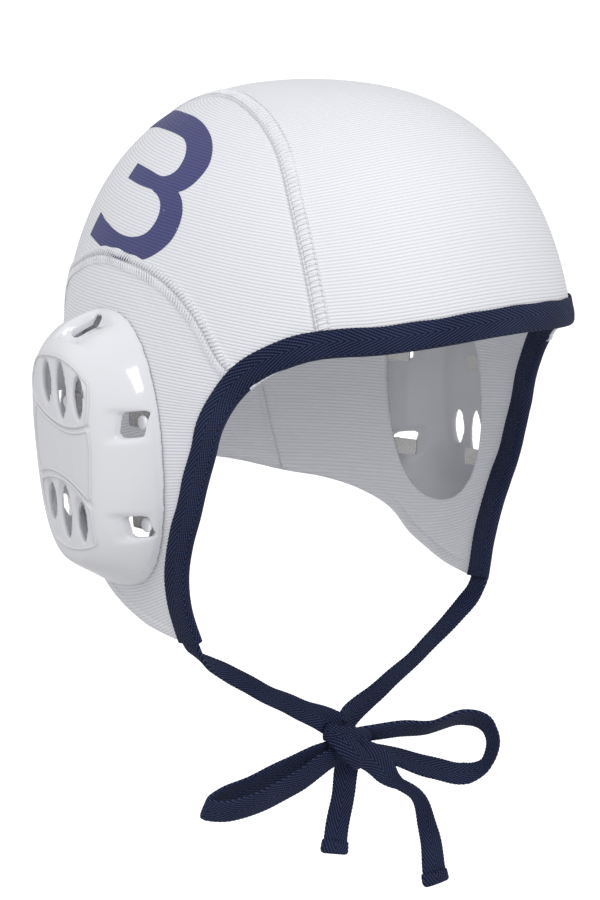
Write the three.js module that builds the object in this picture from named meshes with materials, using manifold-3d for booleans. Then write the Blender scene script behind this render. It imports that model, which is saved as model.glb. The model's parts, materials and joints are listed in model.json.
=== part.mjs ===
// Water polo cap as it is worn: three crown panels, two ear panels, a folded tape round the face,
// two hard ear guards on their tapes and pegs, and two ties knotted in a bow under the chin.
// Millimetres. +Z is up, the face looks along -Y, and the wearer's right is -X.
// The origin is the inside of the crown's top, where the head carries the cap.
import * as THREE from 'three';
import { mergeVertices } from 'three/addons/utils/BufferGeometryUtils.js';
import Module from 'manifold-3d';

const wasm = await Module();
wasm.setup();

// Head form that the stretched cloth follows, measured from a centre at ear level to the cloth's outer face
const FORM = { halfWidth: 78.5, front: 99, back: 98, up: 116, down: 118 };
// Roundness of the form: 2 is an ellipse, and more is squarer
const ROUNDNESS = { plan: 2.14, brow: 2.6, side: 2.5, nape: 2.4 };

const CLOTH_WALL = 1.2;
const SEAM_GAP = 0.35;
const HEM_WIDTH = 4;
const HEM_WALL = 2;

const TAPE = { width: 9, leaf: 0.8, clearance: 0.35, under: 0.6, inset: 1.7, nose: 0.45 };
const TIE = { width: 9, thickness: 2 };
// Corners of a strap's section, as shares of its half width and half thickness
const STRAP_SECTION = [[-1, 0], [-0.85, -1], [0.85, -1], [1, 0], [0.85, 1], [-0.85, 1]];

// Ear guard: a domed oval shell with a flat outer plate, leaning a little backwards. Above levelRise its rings
// are flat, and below it they follow the cloth. The plate is turned with the head: it drops towards its rear and
// its bottom.
const GUARD = { back: 17, up: -4.5, wall: 2, lean: 0.052, seat: 0.35, levelRise: 12, plateRise: 22.8 };
const EAR_OPENING = { halfWidth: 22.5, halfHeight: 40, roundness: 2.3 };

// Each row is a point of a line on the right side of the form: how far out, back and up from the centre
const FACE_EDGE = points([
  [0, -97, 38.9],
  [27, -92, 37.4],
  [44.5, -82, 35.6],
  [58, -67.5, 34],
  [63.5, -59, 31],
  [68.5, -50, 26],
  [72, -42, 18],
  [74, -36, 8],
  [75, -33, -2],
  [75.5, -29.5, -12],
  [76, -26, -23],
  [76, -21.5, -34],
  [75, -18, -45],
  [72.5, -16.5, -56],
  [69, -17.4, -68.5],
]);
const CROWN_SEAM = points([
  [58, -67.5, 34],
  [57.6, -62, 53],
  [54, -50, 78],
  [45, -31, 99],
  [32, 2.5, 111],
  [25.6, 22, 111],
  [22, 45, 104],
  [21, 68, 84],
  [22, 86, 52],
  [24, 93, 15],
  [26, 92, -12],
  [27, 89, -31.5],
]);
const EAR_SEAM = points([
  [69.9, -47, 22.5],
  [73, -36, 30],
  [74, -24, 44],
  [73.5, -8, 54],
  [71.5, 15, 59],
  [68, 32.5, 59],
  [63, 51, 54],
  [54.5, 69, 46],
  [47, 78, 30],
  [45, 81, 8],
  [47, 77, -16],
  [50, 73, -38],
]);
const LOWER_EDGE = points([
  [69, -8.5, -68.5],
  [70.3, 6.6, -66],
  [70.7, 17, -62],
  [70.6, 25, -58],
  [70, 35, -50],
  [66, 47, -44],
  [60, 60, -40.5],
  [50, 73, -38],
]);
const NAPE_EDGE = points([
  [50, 73, -38],
  [38, 83, -34],
  [27, 89, -31.5],
  [12, 93.5, -30],
  [0, 94.5, -29.5],
]);

// Rings of the guard's outer face from its rim to its plate: half width, half height, height above the cloth
// and roundness of the outline
const GUARD_RINGS = [
  { halfWidth: 29, halfHeight: 47.5, rise: 0, roundness: 2.3 },
  { halfWidth: 28.4, halfHeight: 46.8, rise: 4.5, roundness: 2.3 },
  { halfWidth: 25.8, halfHeight: 44.3, rise: 11.5, roundness: 2.3 },
  { halfWidth: 20.8, halfHeight: 39.8, rise: 18.6, roundness: 2.45 },
  { halfWidth: 17.2, halfHeight: 36.4, rise: 21.8, roundness: 2.6 },
  { halfWidth: 15, halfHeight: 33.6, rise: 22.8, roundness: 2.8 },
  { halfWidth: 8, halfHeight: 18, rise: 23.8, roundness: 2.6 },
];
// Vents in the plate: where each lens is across and along the guard, and its size
const VENTS = [
  { across: -12.2, along: 21.5, width: 4.8, length: 15 },
  { across: -3.2, along: 23, width: 5, length: 19.5 },
  { across: 4.9, along: 25, width: 4.8, length: 14.5 },
  { across: -8.1, along: -21.4, width: 4.8, length: 14 },
  { across: 0.7, along: -19.5, width: 5, length: 18.5 },
  { across: 8.9, along: -16.8, width: 4.6, length: 13 },
];
// The vents' cutters reach from inside the shell, short of the cloth, to outside the plate
const VENT_CUT = { from: 12, to: 40 };
// Windows in the guard's front and rear flanks, each with a tape and a peg, all measured from the guard's rim
const WINDOWS = [
  { name: 'upper', up: 8, height: 9 },
  { name: 'lower', up: -27, height: 8 },
];
const WINDOW = { near: 1.2, far: 13, floor: 2.6, ceiling: 15.8 };
const GUARD_TAPE = { near: 3.7, far: 14.7, width: 6, thickness: 1.2 };
const PEG = { fromRim: 5, headRadius: 2.5, headRise: 1.5, shankRadius: 1.4, shank: 1.1 };
const PLATE_DROP = { middle: 1.9, across: 0.06, along: -0.06, curve: 0.0012 };
const TOP_PEG = { up: 37.5, back: 18.6 };
const TOP_NOTCH = { width: 7, height: 9, up: 38 };

// Bow under the chin, from the centre of its knot, turned a little to face the wearer's right
const KNOT = { x: 0, y: -15, z: -117.5, halfWidth: 8, halfDepth: 6, halfHeight: 8.5 };
const BOW_TURN = -0.34;

const COLOURS = { cloth: 0xe9eaf0, tape: 0x1c2549, plastic: 0xe4e5ea, webbing: 0xe2e1df };

function points(rows) {
  return rows.map(([out, back, up]) => new THREE.Vector3(-out, back, up));
}

function mirrored(point) {
  return new THREE.Vector3(-point.x, point.y, point.z);
}

// How far out a point lies compared with the form: 1 is on the cloth's outer face
function formLevel(p) {
  const flat = Math.max(Math.hypot(p.x, p.y), 1e-6);
  const side = Math.abs(p.x) / flat;
  const face = -p.y / flat;
  const reach = face > 0 ? FORM.front : FORM.back;
  const plan = ((side / FORM.halfWidth) ** ROUNDNESS.plan
    + (Math.abs(face) / reach) ** ROUNDNESS.plan) ** (1 / ROUNDNESS.plan);
  const towardsEnd = face > 0 ? ROUNDNESS.brow : ROUNDNESS.nape;
  const power = ROUNDNESS.side + (towardsEnd - ROUNDNESS.side) * face * face;
  const height = p.z > 0 ? FORM.up : FORM.down;
  return ((flat * plan) ** power + (Math.abs(p.z) / height) ** power) ** (1 / power);
}

function formNormal(p) {
  const step = 0.05;
  const slope = (axis) => {
    const shift = new THREE.Vector3().setComponent(axis, step);
    return formLevel(p.clone().add(shift)) - formLevel(p.clone().sub(shift));
  };
  return new THREE.Vector3(slope(0), slope(1), slope(2)).normalize();
}

// The point of the cloth's outer face in the direction of p, lifted by rise along the face's normal
function onForm(p, rise = 0) {
  const surface = p.clone().multiplyScalar(1 / formLevel(p));
  return surface.addScaledVector(formNormal(surface), rise);
}

function smooth(rows) {
  const curve = new THREE.CatmullRomCurve3(rows, false, 'centripetal');
  curve.arcLengthDivisions = 400;
  return (t) => onForm(curve.getPointAt(THREE.MathUtils.clamp(t, 0, 1)));
}

function curveLength(curve) {
  const steps = 60;
  let length = 0;
  for (let i = 0; i < steps; i++) {
    length += curve(i / steps).distanceTo(curve((i + 1) / steps));
  }
  return length;
}

const faceEdge = smooth(FACE_EDGE);
const crownSeam = smooth(CROWN_SEAM);
const earSeam = smooth(EAR_SEAM);
const lowerEdge = smooth(LOWER_EDGE);
const napeEdge = smooth(NAPE_EDGE);

// Where on a curve, as a share of its length, the point nearest to p lies
function shareNearest(curve, p) {
  const steps = 600;
  let best = 0;
  for (let i = 0; i <= steps; i++) {
    if (curve(i / steps).distanceTo(p) < curve(best).distanceTo(p)) {
      best = i / steps;
    }
  }
  return best;
}

const CROWN_SHARE = shareNearest(faceEdge, crownSeam(0));
const EAR_SHARE = shareNearest(faceEdge, earSeam(0));
const NAPE_SHARE = shareNearest(napeEdge, crownSeam(1));

function stretch(curve, from, to) {
  return (t) => curve(from + (to - from) * t);
}

function mirrorCurve(curve) {
  return (t) => mirrored(curve(t));
}

function signedVolume(vertices, faces) {
  let sum = 0;
  for (const [a, b, c] of faces) {
    sum += vertices[a].dot(vertices[b].clone().cross(vertices[c]));
  }
  return sum / 6;
}

function closedGeometry(vertices, faces) {
  const outward = signedVolume(vertices, faces) > 0;
  const geometry = new THREE.BufferGeometry();
  geometry.setAttribute('position', new THREE.Float32BufferAttribute(vertices.flatMap((v) => v.toArray()), 3));
  geometry.setIndex(faces.flatMap(([a, b, c]) => (outward ? [a, b, c] : [a, c, b])));
  return geometry;
}

// A closed body skinned over sections, each a ring of as many points. The ends are fans, and a loop has none.
function loft(sections, closed = false) {
  const count = sections[0].length;
  const vertices = sections.flat();
  const faces = [];
  const last = closed ? sections.length : sections.length - 1;
  for (let i = 0; i < last; i++) {
    const here = i * count;
    const there = ((i + 1) % sections.length) * count;
    for (let j = 0; j < count; j++) {
      const next = (j + 1) % count;
      faces.push([here + j, there + j, there + next], [here + j, there + next, here + next]);
    }
  }
  if (!closed) {
    for (const [start, flip] of [[0, false], [(sections.length - 1) * count, true]]) {
      const flat = sections[start / count];
      for (const [a, b, c] of capFaces(flat)) {
        faces.push(flip ? [start + a, start + c, start + b] : [start + a, start + b, start + c]);
      }
    }
  }
  return closedGeometry(vertices, faces);
}

// Triangles over a flat ring, also where the ring is not convex
function capFaces(ring) {
  const normal = new THREE.Vector3();
  for (let i = 0; i < ring.length; i++) {
    normal.add(ring[i].clone().cross(ring[(i + 1) % ring.length]));
  }
  normal.normalize();
  const across = ring[1].clone().sub(ring[0]).cross(normal).normalize();
  const along = normal.clone().cross(across);
  const flat = ring.map((p) => new THREE.Vector2(p.dot(across), p.dot(along)));
  const faces = THREE.ShapeUtils.triangulateShape(flat, []);
  const [a, b, c] = faces[0].map((i) => ring[i]);
  const facing = b.clone().sub(a).cross(c.clone().sub(a)).dot(normal);
  return facing > 0 ? faces : faces.map(([i, j, k]) => [i, k, j]);
}

// Cloth between two edges: grid[i][j] lies on the outer face, and wall(i, j) is its thickness there.
// A ring of cloth closes on itself along i.
function cloth(grid, wall, ring = false) {
  const columns = grid.length;
  const rows = grid[0].length;
  const vertices = [];
  for (const inner of [false, true]) {
    grid.forEach((column, i) => column.forEach((p, j) => {
      vertices.push(inner ? onForm(p, -wall(i, j)) : p);
    }));
  }
  const at = (inner, i, j) => inner * columns * rows + (i % columns) * rows + j;
  const faces = [];
  const quad = (a, b, c, d) => faces.push([a, b, c], [a, c, d]);
  const last = ring ? columns : columns - 1;
  for (let i = 0; i < last; i++) {
    for (let j = 0; j < rows - 1; j++) {
      quad(at(0, i, j), at(0, i + 1, j), at(0, i + 1, j + 1), at(0, i, j + 1));
      quad(at(1, i, j), at(1, i, j + 1), at(1, i + 1, j + 1), at(1, i + 1, j));
    }
    quad(at(0, i + 1, 0), at(0, i, 0), at(1, i, 0), at(1, i + 1, 0));
    quad(at(0, i, rows - 1), at(0, i + 1, rows - 1), at(1, i + 1, rows - 1), at(1, i, rows - 1));
  }
  if (!ring) {
    const end = columns - 1;
    for (let j = 0; j < rows - 1; j++) {
      quad(at(0, 0, j), at(0, 0, j + 1), at(1, 0, j + 1), at(1, 0, j));
      quad(at(0, end, j + 1), at(0, end, j), at(1, end, j), at(1, end, j + 1));
    }
  }
  return closedGeometry(vertices, faces);
}

// A four-sided panel. low and high are its long edges and run from start to finish. The panel stops short of
// its long edges by half a seam gap, and of its start edge by the tape's fold.
function panel({ low, high, start, finish, columns, rows }) {
  const foldInset = TAPE.inset / Math.min(curveLength(low), curveLength(high));
  const grid = [];
  for (let i = 0; i <= columns; i++) {
    const u = THREE.MathUtils.lerp(foldInset, 1, i / columns);
    const width = low(u).distanceTo(high(u));
    const column = [];
    for (let j = 0; j <= rows; j++) {
      const v = THREE.MathUtils.lerp(SEAM_GAP / 2 / width, 1 - SEAM_GAP / 2 / width, j / rows);
      const p = low(u).multiplyScalar(1 - v).addScaledVector(high(u), v);
      p.addScaledVector(start(v), 1 - u).addScaledVector(finish(v), u);
      p.addScaledVector(start(0), -(1 - u) * (1 - v)).addScaledVector(start(1), -(1 - u) * v);
      p.addScaledVector(finish(0), -u * (1 - v)).addScaledVector(finish(1), -u * v);
      column.push(onForm(p));
    }
    grid.push(column);
  }
  const hem = grid.length - 1;
  return cloth(grid, (i) => (i === hem ? HEM_WALL : CLOTH_WALL));
}

function centrePanel() {
  const brow = (v) => (v < 0.5 ? faceEdge(CROWN_SHARE * (1 - 2 * v)) : mirrored(faceEdge(CROWN_SHARE * (2 * v - 1))));
  const nape = (v) => {
    const share = NAPE_SHARE + (1 - NAPE_SHARE) * (1 - Math.abs(1 - 2 * v));
    return v < 0.5 ? napeEdge(share) : mirrored(napeEdge(share));
  };
  return panel({
    low: crownSeam, high: mirrorCurve(crownSeam), start: brow, finish: nape, columns: 32, rows: 12,
  });
}

function sidePanel() {
  return panel({
    low: crownSeam,
    high: earSeam,
    start: stretch(faceEdge, CROWN_SHARE, EAR_SHARE),
    finish: stretch(napeEdge, NAPE_SHARE, 0),
    columns: 26,
    rows: 7,
  });
}

// A point of the guard's plan: across it to the front and rear, and along it up and down, with the guard's lean
function sidePoint(across, along) {
  const back = GUARD.back + across + GUARD.lean * along;
  return sideways(back, GUARD.up + along);
}

// The point of the right side of the cloth's outer face that has this depth and height
function sideways(back, up) {
  let near = 20;
  let far = FORM.halfWidth + 5;
  for (let i = 0; i < 30; i++) {
    const middle = (near + far) / 2;
    if (formLevel(new THREE.Vector3(-middle, back, up)) < 1) {
      near = middle;
    } else {
      far = middle;
    }
  }
  return new THREE.Vector3(-near, back, up);
}

function ovalPoint(angle, { halfWidth, halfHeight, roundness }) {
  const c = Math.cos(angle);
  const s = Math.sin(angle);
  const radius = ((Math.abs(c) / halfWidth) ** roundness + (Math.abs(s) / halfHeight) ** roundness) ** (-1 / roundness);
  return { across: radius * c, along: radius * s };
}

// The ear panel lies between its outline and the ear opening
function earPanel() {
  const outline = [
    { curve: stretch(faceEdge, EAR_SHARE, 1), steps: 18, inset: TAPE.inset },
    { curve: lowerEdge, steps: 15, inset: 0 },
    { curve: (t) => earSeam(1 - t), steps: 24, inset: SEAM_GAP / 2 },
  ];
  const rows = 4;
  const grid = [];
  const hemmed = [];
  for (const { curve, steps, inset } of outline) {
    for (let i = 0; i < steps; i++) {
      const share = Math.max(i, inset > 0 ? 0.3 : 0) / steps;
      const edge = curve(share);
      const angle = Math.atan2(edge.z - GUARD.up, edge.y - GUARD.back);
      const { across, along } = ovalPoint(angle, EAR_OPENING);
      const inner = sidePoint(across, along);
      const span = inner.distanceTo(edge);
      const rim = curve(Math.min(share + 0.01, 1)).sub(curve(Math.max(share - 0.01, 0))).normalize();
      const slant = rim.cross(inner.clone().sub(edge).normalize()).length();
      const hem = inset === 0;
      hemmed.push(hem && i > 0);
      const column = [];
      for (let j = 0; j <= rows; j++) {
        const first = inset / slant / span;
        const second = hem ? HEM_WIDTH / span : 1 / rows;
        const inwards = j === 0 ? first : second + (1 - second) * ((j - 1) / (rows - 1));
        column.push(onForm(edge.clone().lerp(inner, inwards)));
      }
      grid.push(column);
    }
  }
  return cloth(grid, (i, j) => (hemmed[i] && j === 0 ? HEM_WALL : CLOTH_WALL), true);
}

// Section of the folded tape: how far each corner is from the fold, and its height over the cloth's outer face
function tapeSection() {
  const top = TAPE.clearance + TAPE.leaf;
  const underside = -CLOTH_WALL - TAPE.under;
  const bottom = underside - TAPE.leaf;
  return [
    [TAPE.width, top],
    [TAPE.leaf, top],
    [0, top - TAPE.nose * 2],
    [0, bottom + TAPE.nose * 2],
    [TAPE.leaf, bottom],
    [TAPE.width, bottom],
    [TAPE.width, underside],
    [TAPE.leaf, underside],
    [TAPE.leaf, TAPE.clearance],
    [TAPE.width, TAPE.clearance],
  ];
}

function faceTape() {
  const steps = 76;
  const nearby = 0.004;
  const whole = (t) => (t < 0.5 ? faceEdge(1 - 2 * t) : mirrored(faceEdge(2 * t - 1)));
  const sections = [];
  for (let i = 0; i <= steps; i++) {
    const t = i / steps;
    const here = whole(t);
    const along = whole(Math.min(t + nearby, 1)).sub(whole(Math.max(t - nearby, 0))).normalize();
    const normal = formNormal(here);
    const inwards = normal.clone().cross(along).normalize();
    sections.push(tapeSection().map(([fromFold, rise]) => (
      onForm(here.clone().addScaledVector(inwards, fromFold), rise)
    )));
  }
  return loft(sections);
}

function solid(geometry) {
  const bare = geometry.clone();
  bare.deleteAttribute('normal');
  bare.deleteAttribute('uv');
  const merged = mergeVertices(bare, 1e-4);
  return new wasm.Manifold(new wasm.Mesh({
    numProp: 3,
    vertProperties: new Float32Array(merged.attributes.position.array),
    triVerts: new Uint32Array(merged.index.array),
  }));
}

function fromSolid(body) {
  const mesh = body.getMesh();
  const geometry = new THREE.BufferGeometry();
  geometry.setAttribute('position', new THREE.BufferAttribute(new Float32Array(mesh.vertProperties), 3));
  geometry.setIndex(new THREE.BufferAttribute(new Uint32Array(mesh.triVerts), 1));
  return geometry;
}

function plateDrop(across, along) {
  const rearwards = Math.max(across + 3, 0);
  return PLATE_DROP.middle + PLATE_DROP.across * across + PLATE_DROP.along * along + PLATE_DROP.curve * rearwards ** 2;
}

// A point over the guard's plan at a height above the cloth. The rise fades from the cloth's own curve at the rim
// to a flat plate.
function guardPoint(across, along, rise) {
  const seat = sidePoint(across, along);
  const middle = sidePoint(0, 0);
  const flatness = THREE.MathUtils.clamp(rise / GUARD.levelRise, 0, 1);
  const x = THREE.MathUtils.lerp(seat.x, middle.x + plateDrop(across, along), flatness);
  return new THREE.Vector3(x - GUARD.seat - rise, seat.y, seat.z);
}

function guardShell() {
  const around = 28;
  const ringOf = ({ halfWidth, halfHeight, rise, roundness }) => {
    const ring = [];
    for (let i = 0; i < around; i++) {
      const { across, along } = ovalPoint((i / around) * Math.PI * 2, { halfWidth, halfHeight, roundness });
      ring.push(guardPoint(across, along, rise));
    }
    return ring;
  };
  const inner = GUARD_RINGS.map((ring) => ({
    ...ring,
    halfWidth: ring.halfWidth - GUARD.wall,
    halfHeight: ring.halfHeight - GUARD.wall,
    rise: ring.rise * (1 - GUARD.wall / GUARD.plateRise),
  })).reverse();
  return loft([...inner, ...GUARD_RINGS].map(ringOf));
}

function prism(outline, from, to) {
  return loft([from, to].map((x) => outline.map(([y, z]) => new THREE.Vector3(x, y, z))));
}

function lens({ across, along, width, length }) {
  const corners = 8;
  const outline = [];
  for (let i = 0; i < corners; i++) {
    const angle = ((i + 0.5) / corners) * Math.PI * 2;
    const bulge = Math.sign(Math.cos(angle)) * Math.abs(Math.cos(angle)) ** 1.3;
    const upwards = (length / 2) * Math.sin(angle);
    const back = GUARD.back + across + GUARD.lean * (along + upwards) + (width / 2) * bulge;
    outline.push([back, GUARD.up + along + upwards]);
  }
  return outline;
}

function rectangle(back, up, width, height) {
  return [[-1, -1], [1, -1], [1, 1], [-1, 1]].map(([i, j]) => [back + (i * width) / 2, up + (j * height) / 2]);
}

// How far back a point of the guard is that lies inside its rim. Direction -1 is the front flank, 1 the rear one.
function insideRim(direction, fromRim, up) {
  const along = up - GUARD.up;
  const { halfWidth, halfHeight, roundness } = GUARD_RINGS[0];
  const across = halfWidth * (1 - (Math.abs(along) / halfHeight) ** roundness) ** (1 / roundness);
  return GUARD.back + direction * (across - fromRim) + GUARD.lean * along;
}

function earGuard() {
  let body = solid(guardShell());
  const seatX = sidePoint(0, 0).x;
  for (const vent of VENTS) {
    body = body.subtract(solid(prism(lens(vent), seatX - VENT_CUT.from, seatX - VENT_CUT.to)));
  }
  for (const { up, height } of WINDOWS) {
    for (const direction of [-1, 1]) {
      const middle = (WINDOW.near + WINDOW.far) / 2;
      const outline = rectangle(insideRim(direction, middle, up), up, WINDOW.far - WINDOW.near, height);
      const rimX = sideways(insideRim(direction, 0, up), up).x;
      const ceiling = seatX - WINDOW.ceiling + plateDrop(direction * GUARD_RINGS[3].halfWidth, up - GUARD.up);
      body = body.subtract(solid(prism(outline, rimX - WINDOW.floor, ceiling)));
    }
  }
  const notch = rectangle(TOP_PEG.back, TOP_NOTCH.up, TOP_NOTCH.width, TOP_NOTCH.height);
  const topX = sideways(TOP_PEG.back, TOP_NOTCH.up).x;
  body = body.subtract(solid(prism(notch, topX - WINDOW.floor, seatX - WINDOW.ceiling)));
  return fromSolid(body);
}

function guardTape(direction, up) {
  const thickness = GUARD_TAPE.thickness;
  const steps = 4;
  const sections = [];
  for (let i = 0; i <= steps; i++) {
    const fromRim = THREE.MathUtils.lerp(GUARD_TAPE.far, GUARD_TAPE.near, i / steps);
    const back = insideRim(direction, fromRim, up);
    sections.push([[-1, 0], [1, 0], [1, 1], [-1, 1]].map(([side, top]) => {
      const p = sideways(back, up + (side * GUARD_TAPE.width) / 2);
      p.x -= GUARD.seat + top * thickness;
      return p;
    }));
  }
  return loft(sections);
}

// A moulded peg: a round head on a short shank, standing outwards
function peg() {
  const { headRadius, headRise, shankRadius, shank } = PEG;
  const profile = [
    [0, 0],
    [shankRadius, 0],
    [shankRadius, shank],
    [headRadius, shank],
    [headRadius * 0.8, shank + headRise * 0.8],
    [0, shank + headRise],
  ];
  const geometry = new THREE.LatheGeometry(profile.map(([r, h]) => new THREE.Vector2(r, h)), 10);
  return geometry.rotateZ(Math.PI / 2);
}

function pegSeat(direction, up) {
  const place = sideways(insideRim(direction, PEG.fromRim, up), up);
  place.x -= GUARD.seat * 2.6 + GUARD_TAPE.thickness;
  return place;
}

// A flat strap along a route. Each row gives the middle of the strap, and the direction of its width.
function strap(route, { width, thickness }, stepsBetween = 2) {
  const middle = new THREE.CatmullRomCurve3(route.map((row) => row.at), false, 'centripetal');
  const count = (route.length - 1) * stepsBetween;
  const sections = [];
  for (let i = 0; i <= count; i++) {
    const t = i / count;
    const row = Math.min(Math.floor(t * (route.length - 1)), route.length - 2);
    const blend = t * (route.length - 1) - row;
    const along = middle.getTangent(t);
    const side = route[row].side.clone().lerp(route[row + 1].side, blend);
    side.addScaledVector(along, -side.dot(along)).normalize();
    const face = along.clone().cross(side);
    const at = middle.getPoint(t);
    sections.push(STRAP_SECTION.map(([w, h]) => (
      at.clone().addScaledVector(side, (w * width) / 2).addScaledVector(face, (h * thickness) / 2)
    )));
  }
  return loft(sections);
}

function strapRoute(rows) {
  return rows.map(([x, y, z, sx, sy, sz]) => ({
    at: new THREE.Vector3(x, y, z),
    side: new THREE.Vector3(sx, sy, sz).normalize(),
  }));
}

// The right tie leaves the tape at the ear flap's tip, turns to face forwards and runs to the knot.
// Each row: place of its middle, then the direction of its width.
const TIE_ROUTE = strapRoute([
  [-68.7, -13, -69.35, 0, 1, 0],
  [-66.6, -12.8, -72.8, 0, 1, 0.15],
  [-61.4, -13.2, -77.2, 0.25, 0.8, 0.6],
  [-52, -13.6, -82.8, 0.45, 0.3, 0.85],
  [-38, -13.4, -91.5, 0.45, 0, 0.9],
  [-22, -12.6, -100.2, 0.42, 0, 0.9],
  [-4.9, -11.9, -109.2, 0.4, 0, 0.9],
]);

// Loops and tails of the bow in its own frame: out to the side, forwards and up from the knot's centre,
// then the direction of the strap's width
const LOOP_NEAR = [
  [-7.4, -1.4, -2.6, 0, 0.2, 1],
  [-20, -4, -7.5, 0, 0.25, 1],
  [-34, -4, -12.3, 0, 0.3, 1],
  [-47, -2, -15, 0, 0.4, 1],
  [-53.5, 1, -16.8, 0.2, 0.5, 1],
  [-47, 4, -18, 0, 0.4, 1],
  [-34, 4.6, -15.6, 0, 0.3, 1],
  [-20, 3.4, -10.8, 0, 0.2, 1],
  [-8, 2, -5, 0, 0.2, 1],
];
const LOOP_FAR = [
  [7.6, 1.2, 3.1, 0.1, 1, 0.4],
  [20, 1.4, 3.4, 0, 0.9, 0.6],
  [32, 1.4, 2.2, 0, 0.9, 0.5],
  [45, 1.2, 4.8, 0, 0.9, 0.45],
  [54, 1, 1.8, 0.75, 0.7, 0.45],
  [57.5, 1, -6, 1, 0.6, 0],
  [54.5, 1, -14, 0.7, 0.8, -0.5],
  [45, 1.5, -16, 0, 0.6, -0.9],
  [33, 1.5, -12.4, 0, 0.6, -0.9],
  [20, 1, -7.2, 0, 0.8, -0.6],
  [8, 0.8, -2.4, 0.1, 1, -0.3],
];
const TAIL_NEAR = [
  [1.2, -1.5, -9.3, 1, 0.2, 0],
  [0.4, -2.5, -18, 1, 0.25, 0.1],
  [-1.6, -2.5, -28, 1, 0.2, 0.15],
  [-3.8, -1.5, -38.5, 1, 0.1, 0.1],
];
const TAIL_FAR = [
  [4.7, 2.5, -8.5, 0.85, 0.2, 0.5],
  [15.3, 4.6, -13.7, 0.8, 0.3, 0.6],
  [25.8, 4, -23, 0.95, 0.3, 0.3],
  [31.4, 2.4, -36, 1, 0.2, 0.2],
  [34.4, 1, -53, 1, 0, 0.2],
];

function bowRoute(rows) {
  return strapRoute(rows.map(([out, forwards, up, sx, sy, sz]) => [out, -forwards, up, sx, -sy, sz]));
}

// The knot: a lump of wrapped tape, wider above than below
function knot() {
  const sides = 12;
  const rings = [
    { level: -1, size: 0.45 },
    { level: -0.75, size: 0.76 },
    { level: -0.2, size: 0.97 },
    { level: 0.35, size: 0.96 },
    { level: 0.8, size: 0.74 },
    { level: 1, size: 0.4 },
  ];
  return loft(rings.map(({ level, size }) => {
    const ring = [];
    for (let i = 0; i < sides; i++) {
      const angle = (i / sides) * Math.PI * 2;
      ring.push(new THREE.Vector3(
        KNOT.halfWidth * size * Math.cos(angle),
        KNOT.halfDepth * size * Math.sin(angle),
        KNOT.halfHeight * level,
      ));
    }
    return ring;
  }));
}

const materials = {
  cloth: new THREE.MeshStandardMaterial({ color: COLOURS.cloth, roughness: 0.85, metalness: 0, name: 'ribbed_cloth' }),
  tape: new THREE.MeshStandardMaterial({ color: COLOURS.tape, roughness: 0.8, metalness: 0, name: 'navy_tape' }),
  plastic: new THREE.MeshStandardMaterial({ color: COLOURS.plastic, roughness: 0.2, metalness: 0, name: 'guard_plastic' }),
  webbing: new THREE.MeshStandardMaterial({ color: COLOURS.webbing, roughness: 0.85, metalness: 0, name: 'white_webbing' }),
};

function piece(name, geometry, material) {
  const mesh = new THREE.Mesh(geometry, material);
  mesh.name = name;
  return mesh;
}

// The same piece for the wearer's left, as a mirror image with its faces turned back outwards
function mirrorGeometry(geometry) {
  const copy = geometry.index ? geometry.clone() : mergeVertices(geometry.clone(), 1e-4);
  copy.deleteAttribute('normal');
  const place = copy.attributes.position;
  for (let i = 0; i < place.count; i++) {
    place.setX(i, -place.getX(i));
  }
  const index = Array.from(copy.index.array);
  for (let i = 0; i < index.length; i += 3) {
    [index[i + 1], index[i + 2]] = [index[i + 2], index[i + 1]];
  }
  copy.setIndex(index);
  return copy;
}

function pair(group, name, geometry, material) {
  group.add(piece(`${name}_right`, geometry, material));
  group.add(piece(`${name}_left`, mirrorGeometry(geometry), material));
}

function crown() {
  const group = new THREE.Group();
  group.add(piece('centre_panel', centrePanel(), materials.cloth));
  pair(group, 'side_panel', sidePanel(), materials.cloth);
  pair(group, 'ear_panel', earPanel(), materials.cloth);
  group.add(piece('face_tape', faceTape(), materials.tape));
  return group;
}

function guards() {
  const group = new THREE.Group();
  pair(group, 'ear_guard', earGuard(), materials.plastic);
  for (const { name, up } of WINDOWS) {
    for (const [flank, direction] of [['front', -1], ['rear', 1]]) {
      pair(group, `guard_tape_${flank}_${name}`, guardTape(direction, up), materials.webbing);
      const place = pegSeat(direction, up);
      const stud = peg().translate(place.x, place.y, place.z);
      pair(group, `guard_peg_${flank}_${name}`, stud, materials.plastic);
    }
  }
  const top = sideways(TOP_PEG.back, TOP_PEG.up);
  const stud = peg().translate(top.x - GUARD.seat, top.y, top.z);
  pair(group, 'guard_peg_top', stud, materials.plastic);
  return group;
}

function bow() {
  const whole = new THREE.Group();
  whole.position.set(KNOT.x, KNOT.y, KNOT.z);
  whole.add(piece('bow_knot', knot(), materials.tape));
  const group = new THREE.Group();
  group.rotation.z = BOW_TURN;
  group.add(piece('bow_loop_right', strap(bowRoute(LOOP_NEAR), TIE), materials.tape));
  group.add(piece('bow_loop_left', strap(bowRoute(LOOP_FAR), TIE), materials.tape));
  group.add(piece('bow_tail_right', strap(bowRoute(TAIL_NEAR), TIE), materials.tape));
  group.add(piece('bow_tail_left', strap(bowRoute(TAIL_FAR), TIE), materials.tape));
  whole.add(group);
  return whole;
}

const cap = new THREE.Group();
const worn = new THREE.Group();
worn.position.z = CLOTH_WALL - FORM.up;
worn.add(crown(), guards(), bow());
pair(worn, 'tie', strap(TIE_ROUTE, TIE), materials.tape);
cap.add(worn);

export default cap;
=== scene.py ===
import json
import math

import bmesh
import bpy
import numpy as np
from mathutils import Matrix, Vector
from mathutils.bvhtree import BVHTree

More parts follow.
